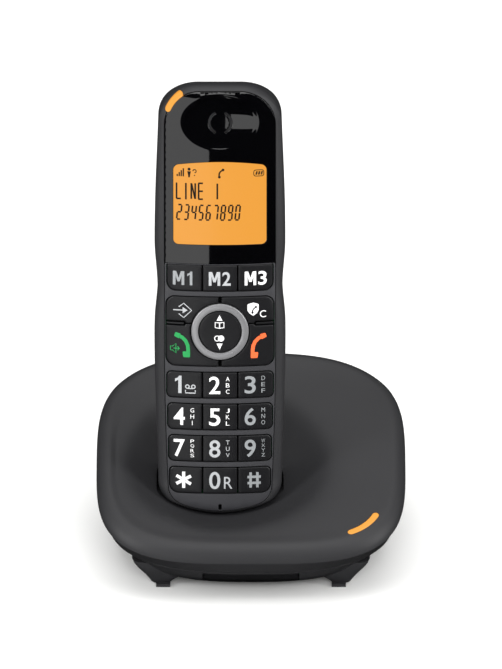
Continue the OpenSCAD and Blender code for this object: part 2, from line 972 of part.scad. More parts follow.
// Plates at both ends of the bay, with a stepped coil against each cell's flat end
module battery_contacts()
    color("#c9c9c4")
        in_handset()
            for (sx = [-1, 1])
                translate([sx * (cell_d / 2 + 0.4), cell_y, bay_low]) {
                    translate([-4, -4, 0])
                        cube([8, 8, 0.5]);
                    translate([0, 0, 0.5])
                        cylinder(r = 3, h = 1.5);
                    translate([0, 0, 2])
                        cylinder(r = 2, h = cell_seat - 2);
                    translate([-4, -4, bay_len - 0.5])
                        cube([8, 8, 0.5]);
                    translate([0, 0, cell_len + cell_seat])
                        cylinder(r = 1.5, h = bay_len - cell_len - cell_seat - 0.5);
                }

module handset_charge_contacts()
    color("#d8d2c0")
        in_handset()
            intersection() {
                for (sx = [-1, 1])
                    translate([sx * 8 - 2.5, 12.5, -1])
                        cube([5, 6, 3.4]);
                handset_body(0, 0, 0, 0.2);
            }

module handset_screws()
    color("#8c8f92")
        in_handset()
            for (p = hand_screws)
                translate([p[0], 15, p[1]])
                    rotate([90, 0, 0]) {
                        cylinder(r = hand_screw_r, h = 8.6);
                        translate([0, 0, -1.3])
                            cylinder(r = 1.9, h = 1.3);
                    }

// ---- keys ----------------------------------------------------------------------------

module nav_ring()
    color("#b9b9bb")
        in_handset()
            intersection() {
                through(-4, 3.6)
                    translate([0, from_top(s_cluster)])
                        difference() {
                            circle(r = ring_r);
                            circle(r = disc_r + key_gap);
                        }
                translate([0, face_r, -5])
                    cylinder(r = face_r + key_proud + 0.3, h = handset_len + 10, $fn = 96);
            }

module nav_key()
    color(key_colour)
        in_handset()
            union() {
                intersection() {
                    through(-4, key_foot_y - 0.1)
                        translate([0, from_top(s_cluster)])
                            circle(r = disc_r);
                    translate([0, face_r, -5])
                        cylinder(r = face_r + key_proud, h = handset_len + 10, $fn = 96);
                }
                through(3.6, key_foot_y - 0.1)
                    translate([0, from_top(s_cluster)])
                        circle(r = ring_r);
            }

// One corner of the navigation cluster: sx is its side, up is 1 above the split
module cluster_key(sx, up)
    color(key_colour)
        in_handset()
            key_solid(s_cluster)
                difference() {
                    intersection() {
                        cluster_plan();
                        translate([sx > 0 ? key_gap / 2 : -30, up > 0 ? s_cluster - s_split + 0.25 : -30])
                            square([30 - key_gap / 2, up > 0 ? 30 : 30 + s_cluster - s_split - 0.25]);
                    }
                    circle(r = ring_r + key_gap + 0.1);
                }

module contacts_key()
    cluster_key(-1, 1);

module mute_key()
    cluster_key(1, 1);

module talk_key()
    cluster_key(-1, -1);

module end_key()
    cluster_key(1, -1);

module memory_key(col)
    color(key_colour)
        in_handset()
            key_solid(s_memory)
                row_key_plan(col, memory_half_w, memory_h, 0.6, 3.1);

module number_key(row, col)
    color(key_colour)
        in_handset()
            key_solid(s_row_1 + row * row_pitch)
                row_key_plan(col, row_half_w - row * row_taper, key_h, 1.7, row == 3 ? 3.3 : 1.7);

base_top_shell();
base_bottom_shell();
base_rubber_feet();
base_screws();
base_circuit_board();
charge_contact_board();
line_socket();
power_socket();
base_charge_contacts();
base_light_pipe();
base_led();
base_antenna();
page_key();
page_switch();
handset_front_shell();
handset_rear_shell();
face_plate();
display_window();
lcd_panel();
lcd_backlight();
earpiece_receiver();
microphone();
ringer_speaker();
handset_circuit_board();
keypad_mat();
handset_light_pipe();
handset_led();
battery_cell_left();
battery_cell_right();
battery_contacts();
handset_charge_contacts();
handset_screws();
battery_door();
nav_ring();
nav_key();
contacts_key();
mute_key();
talk_key();
end_key();
memory_key(-1);  // memory_key_1
memory_key(0);  // memory_key_2
memory_key(1);  // memory_key_3
number_key(0, -1);  // key_1
number_key(0, 0);  // key_2
number_key(0, 1);  // key_3
number_key(1, -1);  // key_4
number_key(1, 0);  // key_5
number_key(1, 1);  // key_6
number_key(2, -1);  // key_7
number_key(2, 0);  // key_8
number_key(2, 1);  // key_9
number_key(3, -1);  // key_star
number_key(3, 0);  // key_0
number_key(3, 1);  // key_hash
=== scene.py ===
import json
import math

import bmesh
import bpy
import numpy as np
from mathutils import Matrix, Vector
from mathutils.geometry import delaunay_2d_cdt


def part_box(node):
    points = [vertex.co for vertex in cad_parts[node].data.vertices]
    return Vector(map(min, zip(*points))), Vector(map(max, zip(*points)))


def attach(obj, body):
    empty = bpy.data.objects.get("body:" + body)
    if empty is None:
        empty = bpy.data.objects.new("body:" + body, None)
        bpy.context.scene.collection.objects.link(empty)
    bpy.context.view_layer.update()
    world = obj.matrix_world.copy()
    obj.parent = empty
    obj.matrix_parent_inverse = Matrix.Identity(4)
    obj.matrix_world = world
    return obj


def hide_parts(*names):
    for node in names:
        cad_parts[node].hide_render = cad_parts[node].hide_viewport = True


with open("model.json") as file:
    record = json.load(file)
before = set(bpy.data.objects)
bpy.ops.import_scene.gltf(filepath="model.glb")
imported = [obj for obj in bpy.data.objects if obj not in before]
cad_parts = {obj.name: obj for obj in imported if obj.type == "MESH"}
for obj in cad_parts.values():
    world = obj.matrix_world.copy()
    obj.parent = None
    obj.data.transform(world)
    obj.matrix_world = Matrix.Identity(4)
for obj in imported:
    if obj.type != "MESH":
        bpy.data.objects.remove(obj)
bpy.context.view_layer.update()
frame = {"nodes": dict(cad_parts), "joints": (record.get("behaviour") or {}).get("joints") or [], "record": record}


# ==== Table, light and camera ==========================================================
# A white laminate table under a large overhead softbox, with a strip light on each side, two
# soft lights in front that glossy pieces don't mirror, and a dim card on the left that they do.

def to_linear(colour):
    """An sRGB hex colour as linear red, green, blue and alpha, by the sRGB curve."""
    parts = np.array([int(colour[i:i + 2], 16) for i in (1, 3, 5)]) / 255.0
    linear = np.where(parts <= 0.04045, parts / 12.92, ((parts + 0.055) / 1.055) ** 2.4)
    return (*linear.tolist(), 1.0)


def add_node(tree, kind, sockets=None, **settings):
    """Adds one shader node: a socket's value is a constant, or another node's output to link."""
    made = tree.nodes.new(kind)
    for key, value in settings.items():
        setattr(made, key, value)
    for key, value in (sockets or {}).items():
        if isinstance(value, bpy.types.NodeSocket):
            tree.links.new(value, made.inputs[key])
        else:
            made.inputs[key].default_value = value
    return made


def textured(name):
    """A new material with an empty node tree, and the piece's own space to lay textures in."""
    material = bpy.data.materials.new(name)
    material.use_nodes = True
    tree = material.node_tree
    tree.nodes.clear()
    return material, tree, add_node(tree, "ShaderNodeTexCoord").outputs["Object"]


def noise(tree, place_of, size_mm, detail, rough=0.5):
    """A noise with features about size_mm wide."""
    sockets = {"Vector": place_of, "Scale": 1000 / size_mm, "Detail": detail, "Roughness": rough}
    return add_node(tree, "ShaderNodeTexNoise", sockets).outputs["Fac"]


def two_tone(tree, factor, first, second):
    """A drift between two linear colours."""
    tone = add_node(tree, "ShaderNodeMix", {"Factor": factor}, data_type="RGBA")
    tone.inputs["A"].default_value = first
    tone.inputs["B"].default_value = second
    return tone.outputs["Result"]


def finish_skin(tree, wavering, rough_range, lifting, lift_m, sockets):
    """The skin: its roughness follows one noise over a range and its bump follows another."""
    waver = add_node(tree, "ShaderNodeMapRange",
                     {"Value": wavering, "To Min": rough_range[0], "To Max": rough_range[1]})
    bump = add_node(tree, "ShaderNodeBump", {"Height": lifting, "Strength": 1.0, "Distance": lift_m})
    skin = add_node(tree, "ShaderNodeBsdfPrincipled",
                    {**sockets, "Roughness": waver.outputs["Result"], "Normal": bump.outputs["Normal"]})
    add_node(tree, "ShaderNodeOutputMaterial", {"Surface": skin.outputs["BSDF"]})


def moulded(name, light, dark, rough, grain_mm, bump_mm, cloud_mm=14.0, coat=0.0):
    """A moulded plastic or rubber: two close colours drift over cloud_mm, a fine grain of
    grain_mm lifts the skin by bump_mm, and the roughness wavers with the same grain."""
    material, tree, place_of = textured(name)
    grain = noise(tree, place_of, grain_mm, 3.0, 0.6)
    colour = two_tone(tree, noise(tree, place_of, cloud_mm, 2.0), to_linear(light), to_linear(dark))
    finish_skin(tree, grain, (rough - 0.05, rough + 0.05), grain, bump_mm / 1000,
                {"Base Color": colour, "IOR": 1.5, "Coat Weight": coat, "Coat Roughness": 0.04})
    return material


def grid_faces(rows, cols, wrap=True):
    """Quads of a rows by cols grid of points as one array; wrap joins the last column to the first."""
    i, j = np.meshgrid(np.arange(rows - 1), np.arange(cols if wrap else cols - 1), indexing="ij")
    k = (j + 1) % cols
    return np.stack([i * cols + j, i * cols + k, (i + 1) * cols + k, (i + 1) * cols + j], -1).reshape(-1, 4)


def capped(stack):
    """Points and faces of a stack of like rings, closed by a flat face at each end."""
    rings, n = stack.shape[:2]
    last = (rings - 1) * n
    ends = [list(range(n))[::-1], list(range(last, last + n))]
    return stack.reshape(-1, 3), list(grid_faces(rings, n)) + ends


def piece(name, points, faces, material, body=None, slot=None, hides=(), sharp=38, closed=True):
    """Puts points in metres and faces into a mesh object: doubles merged, faces turned outwards
    on a closed piece, smooth shading split at the sharp angle. It rides on its body."""
    mesh = bpy.data.meshes.new(name)
    mesh.from_pydata(np.asarray(points).tolist(), [], [list(f) for f in faces])
    work = bmesh.new()
    work.from_mesh(mesh)
    bmesh.ops.remove_doubles(work, verts=work.verts, dist=2e-6)
    bmesh.ops.dissolve_degenerate(work, edges=work.edges, dist=1e-7)
    if closed:
        bmesh.ops.recalc_face_normals(work, faces=work.faces)
    work.to_mesh(mesh)
    work.free()
    mesh.shade_smooth()
    mesh.set_sharp_from_angle(angle=math.radians(sharp))
    made = bpy.data.objects.new(name, mesh)
    bpy.context.scene.collection.objects.link(made)
    mesh.materials.append(material)
    if body:
        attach(made, body)
        if hides:
            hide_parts(*hides)
    return made


laminate = moulded("white_laminate_satin", "#f4f4f2", "#f0f0ef", 0.55, 1.5, 0.002, 90)
edge = np.linspace(-6, 6, 13)
floor_x, floor_y = np.meshgrid(edge, edge)
table = piece("table", np.stack([floor_x, floor_y, 0 * floor_x], -1).reshape(-1, 3),
              grid_faces(13, 13, False), laminate, closed=False)
table.visible_glossy = False

world = bpy.data.worlds.new("studio")
bpy.context.scene.world = world
world.use_nodes = True
world.node_tree.nodes["Background"].inputs["Color"].default_value = (1, 1, 1, 1)
world.node_tree.nodes["Background"].inputs["Strength"].default_value = 0.62
world.cycles_visibility.glossy = False
for name, place_m, aim_m, wide, high, power in (
        ("softbox_overhead", (0.0, 0.1, 2.2), (0, 0, 0), 2.6, 2.4, 34),
        ("strip_left", (-1.3, -0.5, 0.75), (0, 0, 0.08), 0.35, 1.2, 13),
        ("strip_right", (1.3, -0.35, 0.7), (0, 0, 0.08), 0.35, 1.2, 12),
        ("front_soft", (0.3, -2.6, 1.75), (0, 0, 0.08), 1.6, 1.0, 34),
        ("front_low", (0, -2.5, 0.2), (0, 0, 0.02), 2.4, 0.36, 22),
        ("card_left", (-0.56, -1.35, 0.14), (0, 0, 0.13), 0.92, 0.9, 2.4)):
    lamp = bpy.data.lights.new(name, "AREA")
    lamp.shape = "RECTANGLE"
    lamp.size, lamp.size_y, lamp.energy = wide, high, power
    stand = bpy.data.objects.new(name, lamp)
    bpy.context.scene.collection.objects.link(stand)
    stand.location = place_m
    stand.visible_camera = False
    stand.visible_glossy = not name.startswith("front")
    stand.rotation_euler = (Vector(aim_m) - Vector(place_m)).to_track_quat("-Z", "Y").to_euler()

VIEW_WIDE, AIM_Z = 0.246, 0.08455
tilt = math.radians(26)
reach = 6.0
camera = bpy.data.cameras.new("camera")
camera.lens = camera.sensor_width * reach / VIEW_WIDE
camera.clip_end = 50
eye = bpy.data.objects.new("camera", camera)
bpy.context.scene.collection.objects.link(eye)
eye.location = (0, -reach * math.cos(tilt), AIM_Z + reach * math.sin(tilt))
eye.rotation_euler = (math.pi / 2 - tilt, 0, 0)
bpy.context.scene.camera = eye
bpy.context.scene.view_settings.view_transform = "Standard"


# ==== Base, upper case =================================================================
# A wide charcoal ABS moulding with a spark-eroded matt skin: a soft rim, a sloping top with a
# shallow dish, and a leaning pocket that the handset's lower end stands in. It is screwed from
# below and shows a fine dark joint round its foot.

shell_abs = moulded("charcoal_ABS_spark_eroded", "#272729", "#242426", 0.55, 0.55, 0.014)
joints = {j["name"]: j for j in frame["joints"]}
UP = np.array(joints["handset_lift"]["axis"])
INTO = np.array(joints["key_5_press"]["axis"])
FOOT = 1000 * np.array(joints["nav_rock"]["pos_m"]) - 4 * INTO - 69.4 * UP
SLOPE = math.tan(math.radians(15))
TOP_Z, JOINT_Z, JOINT_GAP = 36.3, 11.6, 0.12
RIM_W, RIM_D, RIM_R, RIM_POWER = 57, 53.5, 5, 3.5
JOINT_W, JOINT_D, JOINT_POWER = 53, 50, 2.7
DISH_X, DISH_Y, DISH_R = -11.4, -1.84, 60
FACE_R, BACK_R, HAND_T, END_R = 70, 62, 26, 42
MID_Y = HAND_T / 2
N_TURN = 256
turn = np.linspace(0, 2 * math.pi, N_TURN, endpoint=False)


def place(x, y, z):
    """Handset millimetres (across, from the face to the back, up from the lower end) in row metres."""
    x, y, z = np.broadcast_arrays(x, y, z)
    return (FOOT + x[..., None] * np.array([1, 0, 0]) + y[..., None] * INTO + z[..., None] * UP) / 1000


def bowed(a, b, power):
    """A rounded square round the middle: the radius where |x/a|^power + |y/b|^power = 1."""
    r = (abs(np.cos(turn) / a) ** power + abs(np.sin(turn) / b) ** power) ** (-1 / power)
    return r * np.cos(turn), r * np.sin(turn)


def rise(x, y):
    """Height of the sloping plane, crowned by 3 mm at the middle of its back."""
    return TOP_Z + y * SLOPE + 3 * np.clip(y / RIM_D, 0, 1) ** 2 * np.clip(1 - (x / 46) ** 2, 0, 1)


def top_height(x, y):
    """The crowned plane less a dish, a ball of DISH_R whose border is eased by a soft maximum."""
    along = (y - DISH_Y) / math.cos(math.atan(SLOPE))
    across = (x - DISH_X) * np.where(x < DISH_X, 1.14, 1.0)
    r2 = np.minimum(across ** 2 + along ** 2, 3500)
    depth = np.sqrt(DISH_R ** 2 - r2) - 45.8
    return rise(x, y) - 0.5 * (depth + np.sqrt(depth ** 2 + 16)) * 1.035


def pocket_floor(x, y):
    """Lowest handset point over (across, depth), half a millimetre down: an arch with soft ends."""
    front = np.clip(3 - y, 0, 3)
    back = np.clip(y - 18, 0, 8)
    arch = END_R - np.sqrt(END_R ** 2 - np.clip(x, -24, 24) ** 2)
    return arch - 0.5 + 3 - np.sqrt(9 - front ** 2) + 8 - np.sqrt(64 - back ** 2)


def face_arc(x):
    """Depth of the face's arc across the handset."""
    return FACE_R - np.sqrt(FACE_R ** 2 - np.asarray(x) ** 2)


def outside_handset(x, y, z):
    """How far a point is outside the handset's lower end grown by 0.5 mm: the greatest of the
    distances to the rounded section, the face's and back's arcs and the floor."""
    r = np.where(y < MID_Y, 7.0, 9.0)
    qx = np.maximum(abs(x) - (22.95 - r), 0)
    qy = np.maximum(np.where(y < MID_Y, 2.4 + 7 - y, y - 17), 0)
    section = np.hypot(qx, qy) - r
    face = face_arc(np.clip(x, -40, 40)) - y
    back = y + (BACK_R - HAND_T) - np.sqrt(BACK_R ** 2 - np.clip(x, -40, 40) ** 2)
    return np.maximum.reduce([section, face, back, pocket_floor(x, y) + 0.5 - z]) - 0.5


rows = []
jx, jy = bowed(JOINT_W, JOINT_D, JOINT_POWER)
wx, wy = bowed(RIM_W, RIM_D, RIM_POWER)
rim_z = rise(wx, wy) - RIM_R
for t in np.linspace(0, 1, 7):
    rows.append((jx + (wx - jx) * t, jy + (wy - jy) * t,
                 JOINT_Z + JOINT_GAP + (rim_z - JOINT_Z - JOINT_GAP) * t))
for a in np.linspace(math.pi / 2, 0, 10)[1:]:
    inset = RIM_R * (1 - math.sin(a))
    rx, ry = bowed(RIM_W - inset, RIM_D - inset, RIM_POWER)
    rows.append((rx, ry, rise(rx, ry) - RIM_R * (1 - math.cos(a))))
rim_x, rim_y = rows[-1][:2]
cx, cy = DISH_X, 2.0
bearing = np.arctan2(rim_y - cy, rim_x - cx)
near, far = np.full(N_TURN, 1.0), np.full(N_TURN, 32.0)
for _ in range(40):
    mid = (near + far) / 2
    px, py = cx + mid * np.cos(bearing), cy + mid * np.sin(bearing)
    row_mm = np.stack([px, py, top_height(px, py)], -1) - FOOT
    out = outside_handset(row_mm[:, 0], row_mm @ INTO, row_mm @ UP) > 0
    near, far = np.where(out, near, mid), np.where(out, mid, far)
mouth_x, mouth_y = cx + far * np.cos(bearing), cy + far * np.sin(bearing)
for t in 1 - (1 - np.linspace(0, 1, 44)[1:]) ** 1.3:
    sx, sy = rim_x + (mouth_x - rim_x) * t, rim_y + (mouth_y - rim_y) * t
    blend = min(1, t * 9)
    flat = rise(sx, sy)
    rows.append((sx, sy, flat + (top_height(sx, sy) - flat) * blend))
outer = np.array(rows).transpose(0, 2, 1)
mouth = outer[-1] - FOOT
lx, ly, lz = mouth[:, 0], mouth @ INTO, mouth @ UP
well = [place(lx, ly, lz + (np.minimum(pocket_floor(lx, ly), lz) - lz) * t) for t in (0.15, 0.5, 0.85, 1)]
for k in np.linspace(1, 0, 12)[1:]:
    kx, ky = lx * k, MID_Y + (ly - MID_Y) * k
    well.append(place(kx, ky, np.minimum(pocket_floor(kx, ky), lz)))
outer = np.concatenate([outer / 1000, np.array(well)])


def carve(target, tools, union=False):
    """Cuts closed meshes out of the target one after another and keeps the result as its mesh."""
    for tool in tools:
        cut = target.modifiers.new("cut", "BOOLEAN")
        cut.solver = "EXACT"
        cut.operation = "UNION" if union else "DIFFERENCE"
        cut.object = tool
        settle(target)
        bpy.data.objects.remove(tool)


def settle(target):
    """Applies the modifiers by replacing the mesh with its evaluated copy."""
    graph = bpy.context.evaluated_depsgraph_get()
    finished = bpy.data.meshes.new_from_object(target.evaluated_get(graph))
    target.modifiers.clear()
    target.data = finished
    finished.shade_smooth()
    finished.set_sharp_from_angle(angle=math.radians(38))


def block(low, high, to_row=None):
    """A closed box between two corners, in row millimetres or in the handset's own."""
    corners = np.array([[(low, high)[b >> k & 1][k] for k in range(3)] for b in range(8)], float)
    faces = [(0, 2, 3, 1), (4, 5, 7, 6), (0, 1, 5, 4), (2, 6, 7, 3), (0, 4, 6, 2), (1, 3, 7, 5)]
    return piece("tool", to_row(*corners.T) if to_row else corners / 1000, faces, shell_abs)


def pill(r, w, a0, a1, inset=0.0, n=24):
    """Outline of a bar bent along an arc of radius r, with round ends of its own half width."""
    h = w / 2 - inset
    a = np.radians(np.linspace(a0, a1, n))
    end = np.radians(np.linspace(0, 180, 10))[1:-1]

    def at(radius, angle):
        return radius * np.array([np.cos(angle), np.sin(angle)])

    return np.concatenate([at(r + h, a), at(r, a[-1:]) + at(h, a[-1] + end), at(r - h, a[::-1]),
                           at(r, a[:1]) + at(h, a[0] + np.pi + end)], 1)


def corner_bar(levels):
    """The bar in the base's front corner as a stack of outlines: (inset, height over the slope)."""
    rings = []
    lean = math.atan(SLOPE)
    for inset, lift in levels:
        bx, by = pill(19, 2.4, -64, -24, inset)
        bx, by = bx + 28.4, by - 27.19
        rings.append(np.stack([bx, by * math.cos(lean) - lift * math.sin(lean),
                               TOP_Z + by * math.sin(lean) + lift * math.cos(lean)], -1))
    return capped(np.array(rings) / 1000)


upper = piece("base_upper_case", outer.reshape(-1, 3), grid_faces(len(outer), N_TURN), shell_abs,
              "base", "shell", ["base_top_shell"], closed=False)
wall = upper.modifiers.new("wall", "SOLIDIFY")
wall.thickness = 0.0018
wall.offset = -1
settle(upper)
slot_tool = piece("tool", *corner_bar([(-0.15, -5), (-0.15, 3)]), shell_abs)
line_low, line_high = (1000 * np.array(c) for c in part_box("line_socket"))
power_low, power_high = (1000 * np.array(c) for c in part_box("power_socket"))


def socket_ways():
    """Blocks that clear both sockets through the rear wall, 0.3 mm wider all round."""
    return [block(low - 0.3, high + [0.3, 20, 0.3])
            for low, high in ((line_low, line_high), (power_low, power_high))]


def contact_ways(half, y0, y1, z0, z1):
    """Blocks round the two charging contacts, in the handset's millimetres."""
    return [block((x - half, y0, z0), (x + half, y1, z1), place) for x in (-8, 8)]


carve(upper, [slot_tool] + socket_ways() + contact_ways(1.9, 12.1, 18.9, -6, 2))


# ==== Base, lower case =================================================================
# A shallow charcoal ABS tray below the joint. It draws in to a flat underside, and four feet
# grow out of its corners. The page key's opening is in the front wall.

TRAY_Z, TRAY_W, TRAY_D = (3, 7, JOINT_Z), (43.5, 47.8, 52.4), (41, 46.5, 50)


def tray_half(z):
    """Half of the tray's width and depth at a height."""
    return np.interp(z, TRAY_Z, TRAY_W), np.interp(z, TRAY_Z, TRAY_D)


def lower_outline(z, inset=0.0):
    """The tray's plan at a height: its half sizes ease between three levels, then round under."""
    half_w, half_d = tray_half(z)
    ox, oy = bowed(half_w - inset, half_d - inset, JOINT_POWER)
    return np.stack([ox, oy, 0 * ox + z], -1)


levels = [lower_outline(JOINT_Z - JOINT_GAP, inset) for inset in (1.9, 0.25)]
levels += [lower_outline(z) for z in (JOINT_Z - 0.3, 10, 8.5, 7.4, 6.6, 5.8, 4.6, 3.8)]
levels += [lower_outline(3.4, 0.35), lower_outline(3.08, 0.8), lower_outline(3.0, 1.6)]
levels += [lower_outline(3.0) * [k, k, 1] for k in (0.7, 0.35, 0)]
levels += [lower_outline(5.0) * [k, k, 1] for k in (0, 0.4, 0.8)]
levels += [lower_outline(5.0, 2.0), lower_outline(7, 1.9), lower_outline(10, 1.9)]
levels = np.array(levels + [levels[0]]) / 1000
lower = piece("base_lower_case", levels.reshape(-1, 3), grid_faces(len(levels), N_TURN), shell_abs,
              "base", "shell", ["base_bottom_shell"])
carve(lower, socket_ways() + [block((-17.8, -56, 4.3), (17.8, -40, 10.5))])
foot_z = np.array([0.6, 0.66, 0.9, 1.8, 2.8, 4.0, 5.4, 6.8, 8.4, 10.0])
foot_in = np.array([29.4, 29.1, 28.9, 28.0, 26.4, 24.2, 23.0, 23.0, 23.0, 23.0])
foot_out = np.array([36.4, 36.8, 37.0, 37.6, 38.3, 39.3, 40.6, 41.9, 43.1, 43.8])
foot_front = np.array([36.0, 36.4, 36.6, 37.0, 37.4, 37.8, 38.2, 38.6, 38.8, 38.8])
FOOT_BACK = 26
ring_x, ring_y = (np.sign(way) * abs(way) ** 0.55 for way in (np.cos(turn[::4]), np.sin(turn[::4])))
feet_points, feet_faces = [], []
for sx in (-1, 1):
    for sy in (-1, 1):
        fx = sx * ((foot_in + foot_out)[:, None] + (foot_out - foot_in)[:, None] * ring_x) / 2
        fy = sy * ((foot_front + FOOT_BACK)[:, None] + (foot_front - FOOT_BACK)[:, None] * ring_y) / 2
        foot_points, foot_faces = capped(np.stack([fx, fy, foot_z[:, None] + 0 * fx], -1) / 1000)
        start = len(feet_points) * len(foot_points)
        feet_faces += [[start + i for i in f] for f in foot_faces]
        feet_points.append(foot_points)
piece("base_moulded_feet", np.concatenate(feet_points), feet_faces, shell_abs, "base", "shell")

# ==== Handset outline and face =========================================================
# The handset is two charcoal ABS shells. Everything on its face follows one crowned surface
# that rolls over at the rim, so the frame, plate, window and keys all sit flush.

S_TOP, HALF_Z = 164, 80
BROW_Z, BROW_LIFT = 146.5, 14.94


def half_width(s):
    """Half of the width at s, measured down from S_TOP, which is a little over the top end:
    cosine eases through shoulder, waist and hip."""
    at = np.array([0, 61, 79, 96, S_TOP], float)
    wide = np.array([22.4, 24.05, 23.0, 24.15, 22.6])
    i = np.clip(np.searchsorted(at, s, side="right") - 1, 0, 3)
    t = np.clip((s - at[i]) / (at[i + 1] - at[i]), 0, 1)
    return wide[i] + (wide[i + 1] - wide[i]) * (1 - np.cos(np.pi * t)) / 2


def steps(loop):
    """Distances from each point of a closed path to the next."""
    return np.hypot(*(np.roll(loop, -1, 0) - loop).T)


def even(points, n):
    """A closed path redrawn with n points at even distances along it."""
    loop = np.vstack([points, points[:1]])
    run = np.concatenate([[0], np.cumsum(np.hypot(*np.diff(loop, axis=0).T))])
    at = np.linspace(0, run[-1], n, endpoint=False)
    return np.stack([np.interp(at, run, loop[:, 0]), np.interp(at, run, loop[:, 1])], -1)


def upright(width, top_in, low_in, top_r, low_r, n):
    """Outline in front view: an arc below, a corner arc, the sides by the width function of s,
    and a corner arc to a flat top, mirrored and redrawn evenly from the lower middle."""
    w = width(152.0)
    arc_z = END_R + low_in
    corner_z = arc_z - math.sqrt((END_R - low_r) ** 2 - (w - low_r) ** 2)
    meet = math.atan2(w - low_r, arc_z - corner_z)
    a = np.linspace(0, meet, 40)
    b = np.linspace(-math.pi / 2 + meet, 0, 24)
    side_z = np.linspace(corner_z, BROW_Z, 260)
    fade = np.clip(1 - (side_z - corner_z) / 20, 0, 1)
    side_x = width(S_TOP - side_z) + (w - width(S_TOP - corner_z)) * fade
    top_x = side_x[-1] - top_r
    c = np.linspace(0, math.pi / 2, 40)
    right = np.concatenate([
        np.stack([END_R * np.sin(a), arc_z - END_R * np.cos(a)], -1),
        np.stack([w - low_r + low_r * np.cos(b), corner_z + low_r * np.sin(b)], -1),
        np.stack([side_x, side_z], -1),
        np.stack([top_x + top_r * np.cos(c), BROW_Z + (BROW_LIFT - top_in) * np.sin(c)], -1),
        [[0.01, BROW_Z + BROW_LIFT - top_in]]])
    left = right[::-1] * [-1, 1]
    return even(np.vstack([right, left[:-1]]), n)


def inward(loop):
    """Unit normals to the left of a path, which is inwards where it turns anticlockwise."""
    run = np.roll(loop, -1, 0) - np.roll(loop, 1, 0)
    run /= np.hypot(*run.T)[:, None] + 1e-12
    return np.stack([-run[:, 1], run[:, 0]], -1)


N_RIM = 480
rim = upright(half_width, 0, 0, 15, 8, N_RIM)
rim_in = inward(rim)
side_share = rim_in[:, 0] ** 2


def rim_distance(x, z):
    """Distance from the outline and how much the nearest stretch of it is a side, not an end."""
    flat = np.stack([np.ravel(x), np.ravel(z)], -1)
    near_d, share, high = [], [], []
    for part in np.array_split(flat, max(1, len(flat) // 4000)):
        gap = np.hypot(part[:, None, 0] - rim[None, :, 0], part[:, None, 1] - rim[None, :, 1])
        best = gap.argmin(1)
        near_d.append(gap.min(1))
        weight = np.exp(-(gap - gap.min(1)[:, None]) / 0.8)
        share.append((weight * side_share).sum(1) / weight.sum(1))
        high.append(rim[best, 1] > HALF_Z)
    shape = np.shape(x)
    return (np.concatenate(near_d).reshape(shape), np.concatenate(share).reshape(shape),
            np.concatenate(high).reshape(shape))


BACK_EDGE = (9, 18, 8)


def edge_radius(share, high, side, top, low):
    """The edge's radius: one along the sides, others at the top and at the lower end."""
    return side * share + (1 - share) * np.where(high, top, low)


def eased_max(arc, roll):
    """The soft maximum of the arc across and the roll at the edge."""
    return (arc + roll + np.sqrt((arc - roll) ** 2 + 0.12)) / 2 - 0.05


def face_y(x, z):
    """Depth of the face: the arc across, eased into an edge radius that is 7 mm along the sides,
    6 mm at the top and 3 mm at the lower end. Past the seam the edge's term falls away."""
    d, share, high = rim_distance(x, z)
    r = edge_radius(share, high, 7, 6, 3)
    roll = 2.4 * share + r - np.sqrt(r ** 2 - np.clip(r - d - 0.45 * share, 0, r) ** 2)
    roll = np.maximum(roll - 0.3 * share * np.clip(d - 3.6, 0, 30) ** 1.5, -1.0)
    return eased_max(face_arc(x), roll)


def back_y(x, z):
    """Depth of the back: an arc across, softly joined to the edge radii of BACK_EDGE."""
    d, share, high = rim_distance(x, z)
    r = edge_radius(share, high, *BACK_EDGE)
    roll = HAND_T - r + np.sqrt(r ** 2 - np.clip(r - d - 0.45 * share, 0, r) ** 2)
    arc = np.sqrt(BACK_R ** 2 - np.asarray(x) ** 2) - (BACK_R - HAND_T)
    return (arc + roll - np.sqrt((arc - roll) ** 2 + 0.3)) / 2 + 0.1


def drawn_in(y, loop_in, loop):
    """How far the back's edge radius has drawn the outline in at depth y: r - sqrt(r2 - t2), t
    being how deep y lies in the roll."""
    r = edge_radius(loop_in[:, 0] ** 2, loop[:, 1] > HALF_Z, *BACK_EDGE)
    t = np.clip(y - (HAND_T - r), 0, r)
    return (r - np.sqrt(r * r - t * t))[:, None]



# ==== Handset, front shell =============================================================
# The frame round the face: it runs from the fine seam over a soft edge to the parting line.

def seam_width(s):
    """Half of the width inside the seam: straight, then drawing in by 2 mm to the lower end."""
    return 20.4 - 2 * np.clip((s - 100) / (S_TOP - 100), 0, 1) ** 2


PART_Y = 11.4
seam = upright(seam_width, 1.8, 1.2, 13.2, 7, N_RIM)
frame_rows = [(seam + inward(seam) * -0.05, face_y(*seam.T) + 2.6)]
for drop, shift in ((0.5, -0.06), (0.12, -0.08), (0.0, -0.2)):
    at = seam + inward(seam) * shift
    frame_rows.append((at, face_y(*at.T) + drop))
for t in np.sin(np.linspace(0, math.pi / 2, 15))[1:]:
    at = seam + (rim - seam) * t
    frame_rows.append((at, face_y(*at.T)))
rim_y0 = face_y(*rim.T)
for t in (0.25, 0.5, 0.75, 0.97):
    wall_y = rim_y0 + (PART_Y - 0.1 - rim_y0) * t
    frame_rows.append((rim + rim_in * drawn_in(wall_y, rim_in, rim), wall_y))
for inset, y in ((0.12, PART_Y - 0.06), (0.3, PART_Y - 0.06), (1.8, PART_Y - 0.06), (1.8, 9.0)):
    frame_rows.append((rim + rim_in * (inset + drawn_in(y, rim_in, rim)), y))
frame_rows.append((seam + inward(seam) * -0.1, face_y(*seam.T) + 3.0))
frame_rows.append(frame_rows[0])
front = np.array([place(at[:, 0], y, at[:, 1]) for at, y in frame_rows])
front_shell = piece("handset_front_frame", front.reshape(-1, 3), grid_faces(len(front), N_RIM), shell_abs,
                    "handset", "shell", ["handset_front_shell"])

